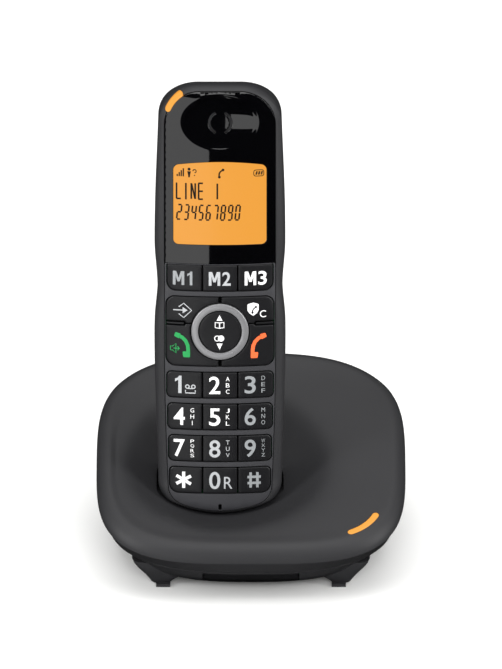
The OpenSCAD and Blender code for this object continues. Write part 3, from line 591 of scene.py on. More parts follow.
# ==== Handset, rear shell ==============================================================
# The back half: hollow, with a thick pad that the battery door slides on, the battery bay,
# sound slots over the loudspeaker, four countersunk screws and pockets for the charging pads.

spine = np.stack([0 * rim[:, 1], np.clip(rim[:, 1], 24, 140)], -1)


def hull_solid(inset, y_front, skin):
    """A closed solid: the outline drawn in, carried back to the skin and closed by loops that
    shrink to a line along the middle, at both its front and its back."""
    edge_loop = rim + rim_in * inset
    drawn = rim_in * drawn_in(np.full(N_RIM, y_front + inset), rim_in, rim)
    edge_loop = edge_loop + drawn
    shrink = [spine + (edge_loop - spine) * k for k in np.sin(np.linspace(math.pi / 2, 0, 40))]
    rings = [(at, y_front) for at in shrink[::-8]] + [(edge_loop, y_front)]
    y_edge = skin(*edge_loop.T)
    rings += [(edge_loop, y_front + (y_edge - y_front) * t) for t in (0.05, 0.35, 0.7)]
    rings += [(at, skin(*at.T)) for at in shrink]
    stack = np.array([place(at[:, 0], y, at[:, 1]) for at, y in rings])
    return stack.reshape(-1, 3), grid_faces(len(stack), N_RIM)


def inside(points, loop):
    """Even-odd test: whether each point lies in a closed path."""
    x, z = points[:, :1], points[:, 1:]
    x0, z0 = loop[:, 0], loop[:, 1]
    x1, z1 = np.roll(x0, -1), np.roll(z0, -1)
    with np.errstate(divide="ignore", invalid="ignore"):
        cross = ((z0 > z) != (z1 > z)) & (x < (x1 - x0) * (z - z0) / (z1 - z0) + x0)
    return cross.sum(1) % 2 == 1


def rounded(corners, radii, step=0.35):
    """A closed polygon, anticlockwise, with each corner cut by an arc of its radius."""
    path = []
    count = len(corners)
    for i in range(count):
        here = np.array(corners[i], float)
        back, ahead = np.array(corners[i - 1], float) - here, np.array(corners[(i + 1) % count], float) - here
        back, ahead = back / np.hypot(*back), ahead / np.hypot(*ahead)
        r = radii[i]
        half = math.acos(np.clip(back @ ahead, -1, 1)) / 2
        start, stop = here + back * r / math.tan(half), here + ahead * r / math.tan(half)
        centre = here + (back + ahead) / np.hypot(*(back + ahead)) * r / math.sin(half)
        a0, a1 = math.atan2(*(start - centre)[::-1]), math.atan2(*(stop - centre)[::-1])
        sweep = (a1 - a0 + math.pi) % (2 * math.pi) - math.pi
        a = a0 + sweep * np.linspace(0, 1, max(3, int(abs(sweep) * r / step) + 3))
        path.append(centre + r * np.stack([np.cos(a), np.sin(a)], -1))
    path = np.vstack(path)
    return dense(path, max(24, int(steps(path).sum() / 0.9)))


def dense(path, n):
    """The same closed path with long stretches divided, keeping its corner points."""
    limit = steps(path).sum() / n
    out = []
    for p, q in zip(path, np.roll(path, -1, 0)):
        parts = max(1, int(math.ceil(np.hypot(*(q - p)) / limit)))
        out.append(p + (q - p) * np.arange(parts)[:, None] / parts)
    return np.vstack(out)


def slab(outer_loop, holes, skin, inner, soft, spacing=1.5, extra=None):
    """A closed piece under one skin: its outline and holes have an edge of radius soft, the skin
    between them is a net of triangles over even points, and the inner side repeats it."""
    def turned(loop, ccw):
        x, z = loop[:, 0], loop[:, 1]
        area = (x * np.roll(z, -1) - np.roll(x, -1) * z).sum()
        return loop if (area > 0) == ccw else loop[::-1]
    loops = [turned(outer_loop, True)] + [turned(h, False) for h in holes]
    points, faces = [], []
    count = 0
    sense = np.sign(inner(*outer_loop[:1].T) - skin(*outer_loop[:1].T))[0]
    rims_in = []
    for loop in loops:
        way = inward(loop)
        tight = loop + way * soft
        rings = [np.stack([tight[:, 0], inner(*tight.T), tight[:, 1]], -1),
                 np.stack([loop[:, 0], inner(*loop.T), loop[:, 1]], -1)]
        for a in np.linspace(0, math.pi / 2, 5):
            at = loop + way * soft * (1 - math.cos(a))
            rings.append(np.stack([at[:, 0], skin(*at.T) + sense * soft * (1 - math.sin(a)), at[:, 1]], -1))
        points.append(np.array(rings).reshape(-1, 3))
        faces += [[count + i for i in f] for f in grid_faces(len(rings), len(loop))]
        count += len(points[-1])
        rims_in.append(tight)
    low, high = rims_in[0].min(0), rims_in[0].max(0)
    gx, gz = np.meshgrid(np.arange(low[0], high[0], spacing), np.arange(low[1], high[1], spacing * 0.866))
    gx = gx + (np.arange(len(gx))[:, None] % 2) * spacing / 2
    inner_points = [np.stack([gx.ravel(), gz.ravel()], -1)]
    if extra is not None:
        keep = np.array([np.hypot(*(extra - p).T).min() > spacing * 0.6 for p in inner_points[0]])
        inner_points = [inner_points[0][keep], extra]
    net = np.vstack(inner_points)
    ok = inside(net, rims_in[0])
    for hole in rims_in[1:]:
        ok &= ~inside(net, hole)
    net = net[ok]
    if len(net):
        every = np.vstack(rims_in)
        clear = np.array([np.hypot(*(every - p).T).min() for p in net])
        net = net[clear > (0.45 * spacing if extra is None else 0.16)]
    flat = np.vstack(rims_in + [net])
    edges, first = [], 0
    for hole in rims_in:
        n = len(hole)
        edges += [(first + i, first + (i + 1) % n) for i in range(n)]
        first += n
    vs, _, fs, _, _, _ = delaunay_2d_cdt([Vector(p) for p in flat.tolist()], edges, [], 0, 1e-6)
    vs = np.array([tuple(v) for v in vs])
    fs = np.array([f for f in fs if len(f) == 3])
    middle = vs[fs].mean(1)
    keep = inside(middle, rims_in[0])
    for hole in rims_in[1:]:
        keep &= ~inside(middle, hole)
    fs = fs[keep]
    points.append(np.stack([vs[:, 0], skin(*vs.T), vs[:, 1]], -1))
    faces += (fs + count).tolist()
    count += len(vs)
    points.append(np.stack([vs[:, 0], inner(*vs.T), vs[:, 1]], -1))
    faces += (fs[:, ::-1] + count).tolist()
    full = np.vstack(points)
    return place(full[:, 0], full[:, 1], full[:, 2]), faces


def box_loop(half_w, z0, z1, r):
    """A rounded rectangle across the handset between two heights."""
    return rounded([(half_w, z0), (half_w, z1), (-half_w, z1), (-half_w, z0)], [r] * 4)


def post(x, z, r, y0, y1, n=40):
    """A closed round post through the handset from y0 to y1."""
    a = np.linspace(0, 2 * math.pi, n, endpoint=False)
    rings = [place(x + r * np.cos(a), 0 * a + y, z + r * np.sin(a)) for y in (y0, y1)]
    return piece("tool", *capped(np.array(rings)), shell_abs)


def deeper(skin, depth):
    """The same surface carried towards the back by a depth in millimetres."""
    return lambda x, z: skin(x, z) + depth


def level(depth):
    """A flat surface across the handset at a depth."""
    return lambda x, z: 0 * x + depth


def cutter(loop, near_side, far_side):
    """A closed tool with an outline, between two surfaces."""
    return piece("tool", *slab(loop, [], near_side, far_side, 0.01, 3.0), shell_abs)


rear = piece("handset_rear_shell_skin", *hull_solid(0.0, PART_Y + 0.06, back_y), shell_abs,
             "handset", "shell", ["handset_rear_shell"])
screw_at = [(-16.5, 140), (16.5, 140), (-12, 5.2), (12, 5.2)]
hollow = piece("tool", *hull_solid(1.8, PART_Y - 1, deeper(back_y, -1.8)), shell_abs)
carve(hollow, [block((-19.7, 20.4, 29), (19.7, 40, 103.5), place),
               block((-13.5, 5, 42.8), (13.5, 40, 97.7), place)] +
      [post(x, z, 3.1, 5, 23) for x, z in screw_at])
door_way = cutter(box_loop(18.0, 30.7, 101.8, 2.2), level(32), deeper(back_y, -1.9))
slots = [box_loop(6 - abs(k), 128 + 3 * k - 0.6, 128 + 3 * k + 0.6, 0.55) for k in range(-2, 3)]
carve(rear, [hollow, door_way, block((-12.3, 12.6, 44), (12.3, 40, 96.5), place)] +
      [cutter(slot, level(18), level(32)) for slot in slots] +
      [post(x, z, 2.1, 15, 40) for x, z in screw_at] + contact_ways(2.5, 12.5, 18.5, -5, 3))

# ==== Battery door =====================================================================
# A thin charcoal ABS cover that follows the back, with four grip ridges near its lower end.


def door_skin(x, z):
    """The back's surface, with four shallow valleys across the grip."""
    grip = np.clip((7.5 - abs(x)) / 1.5, 0, 1) * np.clip(z - 42.5, 0, 1) * np.clip(54.5 - z, 0, 1)
    return back_y(x, z) - 0.3 * grip * (1 - np.cos(2 * np.pi * (z - 43) / 2.75)) / 2


grip_x, grip_z = np.meshgrid(np.linspace(-8, 8, 17), np.linspace(41.5, 55.5, 47))
piece("battery_door_cover", *slab(box_loop(17.7, 39, 101.5, 2.0), [], door_skin,
                                  deeper(back_y, -1.6), 0.35, 1.6,
                                  np.stack([grip_x.ravel(), grip_z.ravel()], -1)),
      shell_abs, "battery_door", "shell", ["battery_door"])

# ==== Face plate =======================================================================
# The charcoal ABS plate inside the seam: it carries the openings for every key and the
# microphone's slot. Its edge is a hair below the frame's.

ROW_S = [114.9 + 12.05 * k for k in range(4)]
ROW_HALF = [19.5 - 0.33 * k for k in range(4)]
ROW_LOW_R = (1.7, 1.7, 1.7, 3.3)
SPLIT_S, CLUSTER_S, MEMORY_S, WINDOW_S = 91.7, 94.6, 74.4, 69.2
KEY_H, KEY_GAP = 9.6, 0.3


def key_loop(x0, x1, s, h, low_left, low_right, top_left, top_right, grow=0.0):
    """A key's outline between two sides, h high about s, with its own four corner radii."""
    z0, z1 = S_TOP - s - h / 2 - grow, S_TOP - s + h / 2 + grow
    return rounded([(x1 + grow, z0), (x1 + grow, z1), (x0 - grow, z1), (x0 - grow, z0)],
                   [low_right + grow, top_right + grow, top_left + grow, low_left + grow])


def low_seam(gap, top_z):
    """The seam's outline below a height, drawn in by the gap and closed straight across."""
    loop = upright(lambda s: seam_width(s) - gap, 3.6 + gap, 1.2 + gap, 11.4, 7, 640)
    part = loop[loop[:, 1] < top_z - 0.4]
    right, left = part[part[:, 0] > 0], part[part[:, 0] <= 0]
    right, left = right[np.argsort(right[:, 1])], left[np.argsort(-left[:, 1])]
    across = np.linspace(right[-1, 0] - 0.4, left[0, 0] + 0.4, 44)
    return np.vstack([right, np.stack([across, 0 * across + top_z], -1), left])


holes = [key_loop(-19.4, 19.4, MEMORY_S, KEY_H, 3.1, 3.1, 0.6, 0.6, KEY_GAP),
         key_loop(-19.75, 19.75, CLUSTER_S, 26, 3.3, 3.3, 3.3, 3.3, KEY_GAP)]
holes += [key_loop(-w, w, s, KEY_H, low_r, low_r, 1.7, 1.7, KEY_GAP)
          for w, s, low_r in zip(ROW_HALF, ROW_S, ROW_LOW_R)]
holes.append(box_loop(0.6, 1.6, 3.8, 0.3))
plate_abs = moulded("charcoal_ABS_fine_matt", "#353538", "#313134", 0.5, 0.4, 0.008)
piece("keypad_face_plate", *slab(low_seam(0.1, S_TOP - WINDOW_S - 0.06), holes, deeper(face_y, 0.02),
                                 deeper(face_y, 1.5), 0.18, 2.0),
      plate_abs, "handset", "shell", ["face_plate"])

# ==== Display window and ear bowl ======================================================
# One clear acrylic moulding, printed black on its back and polished: it reads as piano black.
# The earpiece bowl is sunk into it behind a soft lip, with two curved sound slots, and the
# display shows through an opening in the print.


def polished(name, colour, rough, glow=None, strength=0.0, coat=1.0):
    """A polished or clear-coated plastic: one deep colour, faint dust in its roughness and a
    moulding waviness of a few hundredths of a millimetre; it may be lit from behind."""
    material, tree, place_of = textured(name)
    finish_skin(tree, noise(tree, place_of, 2.5, 4.0), (rough * 0.8, rough * 1.25),
                noise(tree, place_of, 30, 1.0), 0.00004,
                {"Base Color": to_linear(colour), "IOR": 1.49, "Coat Weight": coat,
                 "Coat Roughness": 0.02, "Emission Color": to_linear(glow or colour),
                 "Emission Strength": strength})
    return material


EAR_Z, BOWL_W, BOWL_H = 148.2, 14.7, 10.6
piano_black = polished("acrylic_black_back_print_polished", "#030304", 0.05)


def bowl_drop(x, z):
    """Depth of the bowl under the face by r, the share of the way out to its elliptic rim: an
    eased lip of 0.6 mm, a crease, then a paraboloid down to 3.1 mm."""
    r = np.hypot(np.asarray(x) / BOWL_W, (np.asarray(z) - EAR_Z) / BOWL_H)
    t = np.clip((1 - r) / 0.13, 0, 1)
    return 0.6 * t * t * (3 - 2 * t) + 2.5 * np.clip(1 - (r / 0.87) ** 2, 0, 1) ** 0.9


def window_skin(x, z):
    """The face's arc, eased over at its upper end by 6 mm, less the bowl."""
    d, share, _ = rim_distance(x, z)
    roll = (1 - share) * (6 - np.sqrt(36 - np.clip(6 - d, 0, 6) ** 2))
    return eased_max(face_arc(x), roll) + bowl_drop(x, z)


def high_seam(gap, low_z):
    """The seam's outline above a height, drawn in by the gap and closed straight across."""
    loop = upright(lambda s: seam_width(s) - gap, 1.8 + gap, 1.2 + gap, 13.2 - gap, 7, 640)
    part = loop[loop[:, 1] > low_z + 0.4]
    turn_at = np.argmax(steps(part))
    part = np.roll(part, -turn_at - 1, 0)
    across = np.linspace(part[-1, 0] + 0.4, part[0, 0] - 0.4, 44)
    return np.vstack([part, np.stack([across, 0 * across + low_z], -1)])


DISPLAY_W = 17.1


def display_loop(grow=0.0):
    """The display's opening: a rounded rectangle whose upper edge bows up by 1.5 mm."""
    loop = box_loop(DISPLAY_W + grow, 102.2 - grow, 131.9 + grow, 1.9 + grow)
    bow = np.clip(1 - (loop[:, 0] / DISPLAY_W) ** 2, 0, 1) * (loop[:, 1] > 125)
    return loop + np.stack([0 * bow, 1.5 * bow], -1)


def sound_slot(a0, a1):
    """One of the two slots: a bar bent along a circle of 4 mm between two angles."""
    return pill(4.05, 0.8, a0, a1).T + [0.1, EAR_Z - 0.6]


ring_r = np.concatenate([np.linspace(0.0, 0.84, 22), np.linspace(0.86, 1.04, 12)])
ring_a = np.linspace(0, 2 * math.pi, 120, endpoint=False)
bowl_net = np.stack([(BOWL_W * ring_r[1:, None] * np.cos(ring_a)).ravel(),
                     EAR_Z + (BOWL_H * ring_r[1:, None] * np.sin(ring_a)).ravel()], -1)
window = piece("display_window_pane",
               *slab(high_seam(0.1, S_TOP - WINDOW_S + 0.06),
                     [display_loop(), sound_slot(-60, 60), sound_slot(120, 240)],
                     window_skin, deeper(window_skin, 1.3), 0.14, 1.6, bowl_net),
               piano_black, "handset", "window", ["display_window"])

# ==== Display ==========================================================================
# A reflective liquid-crystal panel with an amber light guide behind it. Its icons, a word and
# nine digits are dark segments; the polariser gives it a satin face under the clear window.

amber_lcd = polished("amber_backlit_polariser_film", "#3c2a0c", 0.35, "#f5a43c", 0.9, 0.1)
lcd_ink = moulded("liquid_crystal_segment_dark", "#0b0602", "#0e0804", 0.6, 0.6, 0.0)
piece("display_glass", *slab(display_loop(-0.03), [], deeper(face_y, 0.10), deeper(face_y, 1.0), 0.05, 1.6),
      amber_lcd, "handset", "lcd")


def stroke(path, width, closed=False):
    """A line of one width along a path: each point splits to both sides along its normal."""
    path = np.asarray(path, float)
    if closed:
        run = np.roll(path, -1, 0) - np.roll(path, 1, 0)
    else:
        run = np.gradient(path, axis=0)
    run = run / (np.hypot(*run.T)[:, None] + 1e-12)
    side = np.stack([-run[:, 1], run[:, 0]], -1) * width / 2
    n = len(path)
    index = np.arange(n if closed else n - 1)
    ahead = (index + 1) % n
    return np.vstack([path - side, path + side]), np.stack([index, ahead, ahead + n, index + n], -1).tolist()


def filled(outline):
    """One flat face inside an outline."""
    outline = np.asarray(outline, float)
    x, z = outline.T
    if (x * np.roll(z, -1) - np.roll(x, -1) * z).sum() < 0:
        outline = outline[::-1]
    return outline, [list(range(len(outline)))]


def disc_of(x, z, r, a0=0, a1=360, n=32):
    """Points round an arc."""
    a = np.radians(np.linspace(a0, a1, n, endpoint=(a1 - a0) % 360 != 0))
    return np.stack([x + r * np.cos(a), z + r * np.sin(a)], -1)


def print_on(name, parts, skin, lift, material, body, slot=None):
    """Flat shapes laid on a skin, a few hundredths of a millimetre proud, as one mesh."""
    points, faces = [], []
    for flat, polygons in parts:
        start = sum(len(p) for p in points)
        points.append(np.asarray(flat, float))
        for f in polygons:
            x, z = points[-1][list(f)].T
            area = (x * np.roll(z, -1) - np.roll(x, -1) * z).sum()
            faces.append([start + i for i in (f if area > 0 else list(f)[::-1])])
    flat = np.vstack(points)
    return piece(name, place(flat[:, 0], skin(flat[:, 0], flat[:, 1]) - lift, flat[:, 1]), faces,
                 material, body, slot, closed=False)


def moved(part, x, z, size=1.0, slant=0.0):
    """A flat shape resized, slanted and moved."""
    flat, faces = part
    flat = np.asarray(flat, float)
    return np.stack([x + size * (flat[:, 0] + slant * flat[:, 1]), z + size * flat[:, 1]], -1), faces


SEGMENTS = {"a": [(0.1, 2), (0.9, 2)], "b": [(1, 1.9), (1, 1.08)], "c": [(1, 0.92), (1, 0.1)],
            "d": [(0.1, 0), (0.9, 0)], "e": [(0, 0.92), (0, 0.1)], "f": [(0, 1.9), (0, 1.08)],
            "g": [(0.1, 1), (0.9, 1)], "n": [(0.1, 1.85), (0.9, 0.15)], "t": [(0.5, 1.9), (0.5, 0)]}
WORD = ["fed", "t", "fenbc", "afged", "", "bc"]
DIGITS = ["abged", "abgcd", "fgbc", "afgcd", "afgedc", "abc", "abcdefg", "abcdfg", "abcdef"]


def segment_row(words, x, z, wide, high, pitch, thick, slant, reach_mm):
    """A row of segment characters: each named segment is a bar on a 1 by 2 lattice, made longer
    by reach_mm at both ends."""
    found = []
    for k, word in enumerate(words):
        for letter in word:
            bar = np.array(SEGMENTS[letter]) * [wide, high / 2]
            bar[:, 0] += slant * bar[:, 1]
            along = (bar[1] - bar[0]) / np.hypot(*(bar[1] - bar[0])) * reach_mm
            bar += [-along, along]
            found.append(stroke(bar + [x + k * pitch, z], thick))
    return found


LEFT_X = -15.9
display = segment_row(WORD, LEFT_X, 119.4, 1.45, 6.0, 2.7, 0.62, 0.0, 0.26)
display += segment_row(DIGITS, LEFT_X, 111.6, 1.4, 5.5, 2.68, 0.6, 0.1, 0.03)
for k in range(4):
    x, high = LEFT_X + 0.75 * k, 128.6 + 0.75 * k
    display.append(filled([(x, 127.8), (x + 0.5, 127.8), (x + 0.5, high), (x, high)]))
display += [filled(disc_of(-11.3, 130.6, 0.55)),
            filled([(-12.0, 129.8), (-10.6, 129.8), (-10.9, 128.6), (-11.05, 127.5), (-11.55, 127.5),
                    (-11.7, 128.6)]),
            stroke(disc_of(-9.3, 129.9, 0.6, -90, 180, 14), 0.35), filled(disc_of(-9.3, 128.3, 0.22)),
            stroke([(1.0, 130.4), (0.2, 129.9), (-0.25, 129.1), (-0.3, 128.1)], 0.55),
            filled(disc_of(1.15, 130.5, 0.5)), filled(disc_of(-0.2, 127.8, 0.5)),
            stroke(rounded([(16.1, 127.9), (16.1, 130.2), (12.4, 130.2), (12.4, 127.9)], [0.8] * 4),
                   0.28, True)]
display += [filled([(x, 128.4), (x + 0.6, 128.4), (x + 0.9, 129.7), (x + 0.3, 129.7)])
            for x in (13.0, 13.95, 14.9)]
print_on("display_segments", display, deeper(face_y, 0.10), 0.03, lcd_ink, "handset", "lcd")

# ==== Keys =============================================================================
# Charcoal ABS key caps, satin from a fine moulded skin, with soft edges. Each rides on its own
# switch; the printed legends move with it. Their white print is drawn in three tones: the pale
# and grey ones are painted shade on the same white print.

key_abs = moulded("black_ABS_satin_key_cap", "#161618", "#131315", 0.4, 0.35, 0.005)
# The pale and grey inks are painted shade: the same white print made paler or grey on keys that lie in shade.
INKS = {"white": moulded("white_pad_print_ink", "#e4e4e4", "#dedede", 0.45, 0.4, 0.001),
        "pale": moulded("white_print_ink_painted_light_shade", "#a6a8aa", "#a0a2a4", 0.45, 0.4, 0.001),
        "grey": moulded("white_print_ink_painted_deep_shade", "#888b8d", "#828587", 0.45, 0.4, 0.001),
        "green": moulded("green_pad_print_ink", "#178f48", "#158843", 0.45, 0.4, 0.001),
        "red": moulded("orange_red_pad_print_ink", "#e5602c", "#de5b29", 0.45, 0.4, 0.001)}


KEY_PROUD = 0.35
key_skin = deeper(face_y, -KEY_PROUD)


def key_cap(node, loop):
    """One key cap over its outline, with soft edges."""
    piece(node + "_cap", *slab(loop, [], key_skin, deeper(face_y, 2.4), 0.42, 1.5),
          key_abs, node, "keys", [node])


def legend(node, marks, ink):
    """The marks printed on a key, a little proud of its top."""
    print_on(node + "_legend", marks, key_skin, 0.07, INKS[ink], node)


def lettering(text, high, wide=None, bold=0.02):
    """The built-in sans face as flat points round its middle, sized to a height and a width."""
    curve = bpy.data.curves.new("letters", "FONT")
    curve.body, curve.offset, curve.resolution_u = text, bold, 8
    holder = bpy.data.objects.new("letters", curve)
    bpy.context.scene.collection.objects.link(holder)
    graph = bpy.context.evaluated_depsgraph_get()
    mesh = bpy.data.meshes.new_from_object(holder.evaluated_get(graph))
    flat = np.zeros(3 * len(mesh.vertices))
    mesh.vertices.foreach_get("co", flat)
    flat = flat.reshape(-1, 3)[:, :2]
    faces = [list(p.vertices) for p in mesh.polygons]
    bpy.data.objects.remove(holder)
    low, high_at = flat.min(0), flat.max(0)
    flat = (flat - (low + high_at) / 2) * high / (high_at[1] - low[1])
    if wide:
        flat[:, 0] *= wide / (flat[:, 0].max() - flat[:, 0].min())
    return flat, faces


ONE = filled([(-1.55, 1.0), (-0.35, 1.75), (-0.35, -3.3), (0.85, -3.3), (0.85, 3.3), (-0.05, 3.3),
              (-0.45, 2.6), (-1.55, 2.1)])
EM = filled([(-2.1, -2.6), (-1.1, -2.6), (-1.1, 0.9), (-0.45, -1.3), (0.45, -1.3), (1.1, 0.9), (1.1, -2.6),
             (2.1, -2.6), (2.1, 2.6), (0.85, 2.6), (0, 0.1), (-0.85, 2.6), (-2.1, 2.6)])


def three(s, half, low_r, top_r):
    """Outlines of a row's three keys, by the radii of the row's lower and upper outer corners."""
    return [key_loop(-half, -6.76, s, KEY_H, low_r, 0.4, top_r, 0.4),
            key_loop(-6.24, 6.24, s, KEY_H, 0.4, 0.4, 0.4, 0.4),
            key_loop(6.76, half, s, KEY_H, 0.4, low_r, 0.4, top_r)]


for k, loop in enumerate(three(MEMORY_S, 19.4, 3.1, 0.6)):
    node = f"memory_key_{k + 1}"
    key_cap(node, loop)
    number = moved(ONE, 0, 0, 0.79) if k == 0 else lettering(str(k + 1), 5.2, 3.1, 0.016)
    # The first two memory legends are white print painted grey and pale as painted shade; the third is plain
    # white.
    legend(node, [moved(EM, -15.2 + 13.2 * k, 89.5), moved(number, -10.8 + 13.2 * k, 89.5)],
           ("grey", "pale", "white")[k])

PAD = [["key_1", "key_2", "key_3"], ["key_4", "key_5", "key_6"], ["key_7", "key_8", "key_9"],
       ["key_star", "key_0", "key_hash"]]
LETTERS = {"key_2": "ABC", "key_3": "DEF", "key_4": "GHI", "key_5": "JKL", "key_6": "MNO",
           "key_7": "PQRS", "key_8": "TUV", "key_9": "WXYZ"}
# Which ink each key's legend takes: the right-hand column is grey and some others pale, both painted shade on what
# is white print.
INK_TONES_WITH_PAINTED_SHADE = [["pale", "white", "grey"], ["white", "white", "grey"], ["white", "pale", "grey"],
         ["white", "pale", "grey"]]
for r, names in enumerate(PAD):
    z_mid = S_TOP - ROW_S[r] + 0.1
    loops = three(ROW_S[r], ROW_HALF[r], ROW_LOW_R[r], 1.7)
    for node, loop, x_mid, tone in zip(names, loops, (-15.0, -1.95, 11.1), INK_TONES_WITH_PAINTED_SHADE[r]):
        key_cap(node, loop)
        if node == "key_star":
            spokes = [np.array([np.cos(a), np.sin(a)]) * 3.1 for a in np.radians([90, 30, 150])]
            marks = [stroke(np.array([-spoke, spoke]) + [-13.4, z_mid], 1.15) for spoke in spokes]
        elif node == "key_hash":
            marks = [stroke([(10.1, z_mid + dz), (15.0, z_mid + dz)], 0.95) for dz in (-1.15, 1.15)]
            marks += [stroke([(x, z_mid + z0), (x, z_mid + z1)], 0.95) for x in (11.25, 13.75)
                      for z0, z1 in ((-2.9, -1.62), (-0.68, 0.68), (1.62, 2.9))]
        else:
            shape = ONE if node == "key_1" else lettering(node[-1], 6.6, 4.1, 0.012)
            marks = [moved(shape, x_mid, z_mid)]
        if node == "key_1":
            marks += [stroke(disc_of(x, z_mid - 0.7, 0.65), 0.4, True) for x in (-12.0, -9.8)]
            marks += [stroke([(-12.0, z_mid - 1.4), (-9.8, z_mid - 1.4)], 0.35),
                      stroke([(-12.7, z_mid - 2.0), (-12.7, z_mid - 3.1), (-9.1, z_mid - 3.1),
                              (-9.1, z_mid - 2.0)], 0.42)]
        if node == "key_0":
            marks.append(moved(lettering("R", 4.5, 3.1, 0.0), 3.0, z_mid - 0.9))
        word = LETTERS.get(node, "")
        for i, letter in enumerate(word):
            pitch = 7.2 / len(word)
            small = lettering(letter, min(1.6, pitch - 0.5), None if letter == "I" else 1.35, 0.0)
            marks.append(moved(small, x_mid + 4.8, z_mid + 3.6 - pitch * (i + 0.5)))
        legend(node, marks, tone)

# ==== Navigation cluster ===============================================================
# Four corner keys meet round a ring lacquered satin silver, with a black rocking disc inside it.
# A narrow rib of the face plate parts the upper keys from the lower ones at each side.

RING_Z, RING_R = S_TOP - CLUSTER_S, 10.55


def cluster_loop(sx, upper_key):
    """A corner key's outline: its outer corner is round, its inner one is bitten by the ring."""
    r = RING_R + 0.35
    sense = 1 if upper_key else -1
    z_out = RING_Z + 13 * sense
    z_rib = 73.2 if upper_key else 71.4
    z_meet = S_TOP - SPLIT_S + 0.16 * sense
    bite = np.array([(math.sqrt(r * r - (z_meet - RING_Z) ** 2), z_meet),
                     (0.6, RING_Z + sense * math.sqrt(r * r - 0.36))])
    a0, a1 = (math.atan2(p[1] - RING_Z, p[0]) for p in bite)
    arc = disc_of(0, RING_Z, r, math.degrees(a0), math.degrees(a1), 26)
    meet_x = bite[0, 0] + 0.01
    outer_part = rounded([(0.6, z_out), (19.75, z_out), (19.75, z_rib), (12.9, z_rib), (12.5, z_meet),
                          (meet_x, z_meet), (meet_x, z_meet + 0.02 * sense), (0.6, z_out - 0.4 * sense)],
                         [0.05, 3.3, 0.35, 0.15, 0.15, 0.003, 0.003, 0.02])
    keep = outer_part[np.hypot(outer_part[:, 0], outer_part[:, 1] - RING_Z) > r + 0.02]
    stray = (keep[:, 0] < 10.4) & (abs(keep[:, 1] - z_out) > 0.1) & (keep[:, 0] > 0.64)
    keep = keep[~stray]
    keep = np.roll(keep, -np.argmax(steps(keep)) - 1, 0)
    if np.hypot(*(keep[-1] - arc[0])) >= np.hypot(*(keep[-1] - arc[-1])):
        arc = arc[::-1]
    outline = np.vstack([keep, arc])
    return dense(outline, max(60, int(steps(outline).sum() / 0.8))) * [sx, 1]


for node, sx, upper_key in (("contacts_key", -1, True), ("mute_key", 1, True),
                            ("talk_key", -1, False), ("end_key", 1, False)):
    key_cap(node, cluster_loop(sx, upper_key))
for side, x0, x1 in (("left", -19.7, -13.2), ("right", 13.2, 19.7)):
    piece("cluster_rib_" + side,
          *slab(rounded([(x1, 71.95), (x1, 72.65), (x0, 72.65), (x0, 71.95)], [0.3] * 4),
                [], deeper(face_y, -0.2), deeper(face_y, 1.6), 0.12, 1.0),
          key_abs, "handset", "shell")

# The contacts key's white print is drawn in the pale ink, as painted shade.
legend("contacts_key",
       [stroke([(-15.15, 78.6), (-13.3, 80.0), (-10.4, 77.4), (-13.3, 74.6), (-15.15, 76.0)], 0.38),
        stroke([(-17.2, 77.4), (-13.4, 77.4)], 0.42),
        filled([(-13.7, 78.6), (-11.9, 77.4), (-13.7, 76.2)])], "pale")
shield = [(10.1, 79.7), (12.2, 80.3), (14.2, 79.7), (14.2, 77.4), (13.6, 76.3), (12.2, 75.3),
          (10.8, 76.3), (10.1, 77.4)]
legend("mute_key", [filled(rounded(shield[::-1], [0.4] * 8)),
                    moved(lettering("C", 2.6, 2.3, 0.0), 15.8, 75.9)], "white")
print_on("mute_key_legend_handset", [stroke(disc_of(13.9, 76.6, 2.0, 105, 185, 12), 0.42),
                                     filled(disc_of(13.2, 78.6, 0.42)), filled(disc_of(11.95, 76.5, 0.42))],
         key_skin, 0.10, key_abs, "mute_key")


def receiver(sx, x, z):
    """A telephone receiver: a bent bar with a four-cornered lobe at each end."""
    arc = np.array([(-2.0, 3.6), (-0.3, 2.9), (1.0, 1.6), (1.7, 0.0), (1.9, -1.6), (1.9, -3.2)])
    bow = even(np.vstack([arc, arc[::-1] + 1e-6]), 120)[:60]
    lobes = [[(-3.3, 3.3), (-2.8, 4.8), (-0.8, 4.3), (-1.3, 2.3)],
             [(-0.2, -2.4), (2.6, -2.4), (2.6, -4.6), (0.1, -4.6)]]
    found = [stroke(bow, 1.35)] + [filled(rounded(lobe[::-1], [0.35] * 4)) for lobe in lobes]
    return [(np.asarray(flat) * [sx, 1] + [x, z], faces) for flat, faces in found]


speaker = [(-18.2, 63.6), (-17.4, 63.6), (-16.2, 64.7), (-16.2, 61.0), (-17.4, 62.1), (-18.2, 62.1)]
legend("talk_key", receiver(1, -13.6, 64.2) +
       [stroke(speaker, 0.28, True), stroke([(-17.1, 62.85), (-15.0, 62.85)], 0.3),
        stroke([(-15.6, 63.6), (-14.9, 62.85), (-15.6, 62.1)], 0.28)], "green")
legend("end_key", receiver(-1, 13.9, 63.9), "red")


def plated(name, colour, rough, brush_mm=0.5, lift_mm=0.002, metallic=1.0):
    """A plated or rolled metal: fine drawn lines of brush_mm in its roughness and skin, and a
    slow drift of tone."""
    material, tree, place_of = textured(name)
    bright = to_linear(colour)
    dull = (*(0.86 * c for c in bright[:3]), 1.0)
    lines = noise(tree, place_of, brush_mm, 2.0)
    finish_skin(tree, lines, (rough - 0.05, rough + 0.06), lines, lift_mm / 1000,
                {"Base Color": two_tone(tree, noise(tree, place_of, 12, 1.0), bright, dull),
                 "Metallic": metallic})
    return material


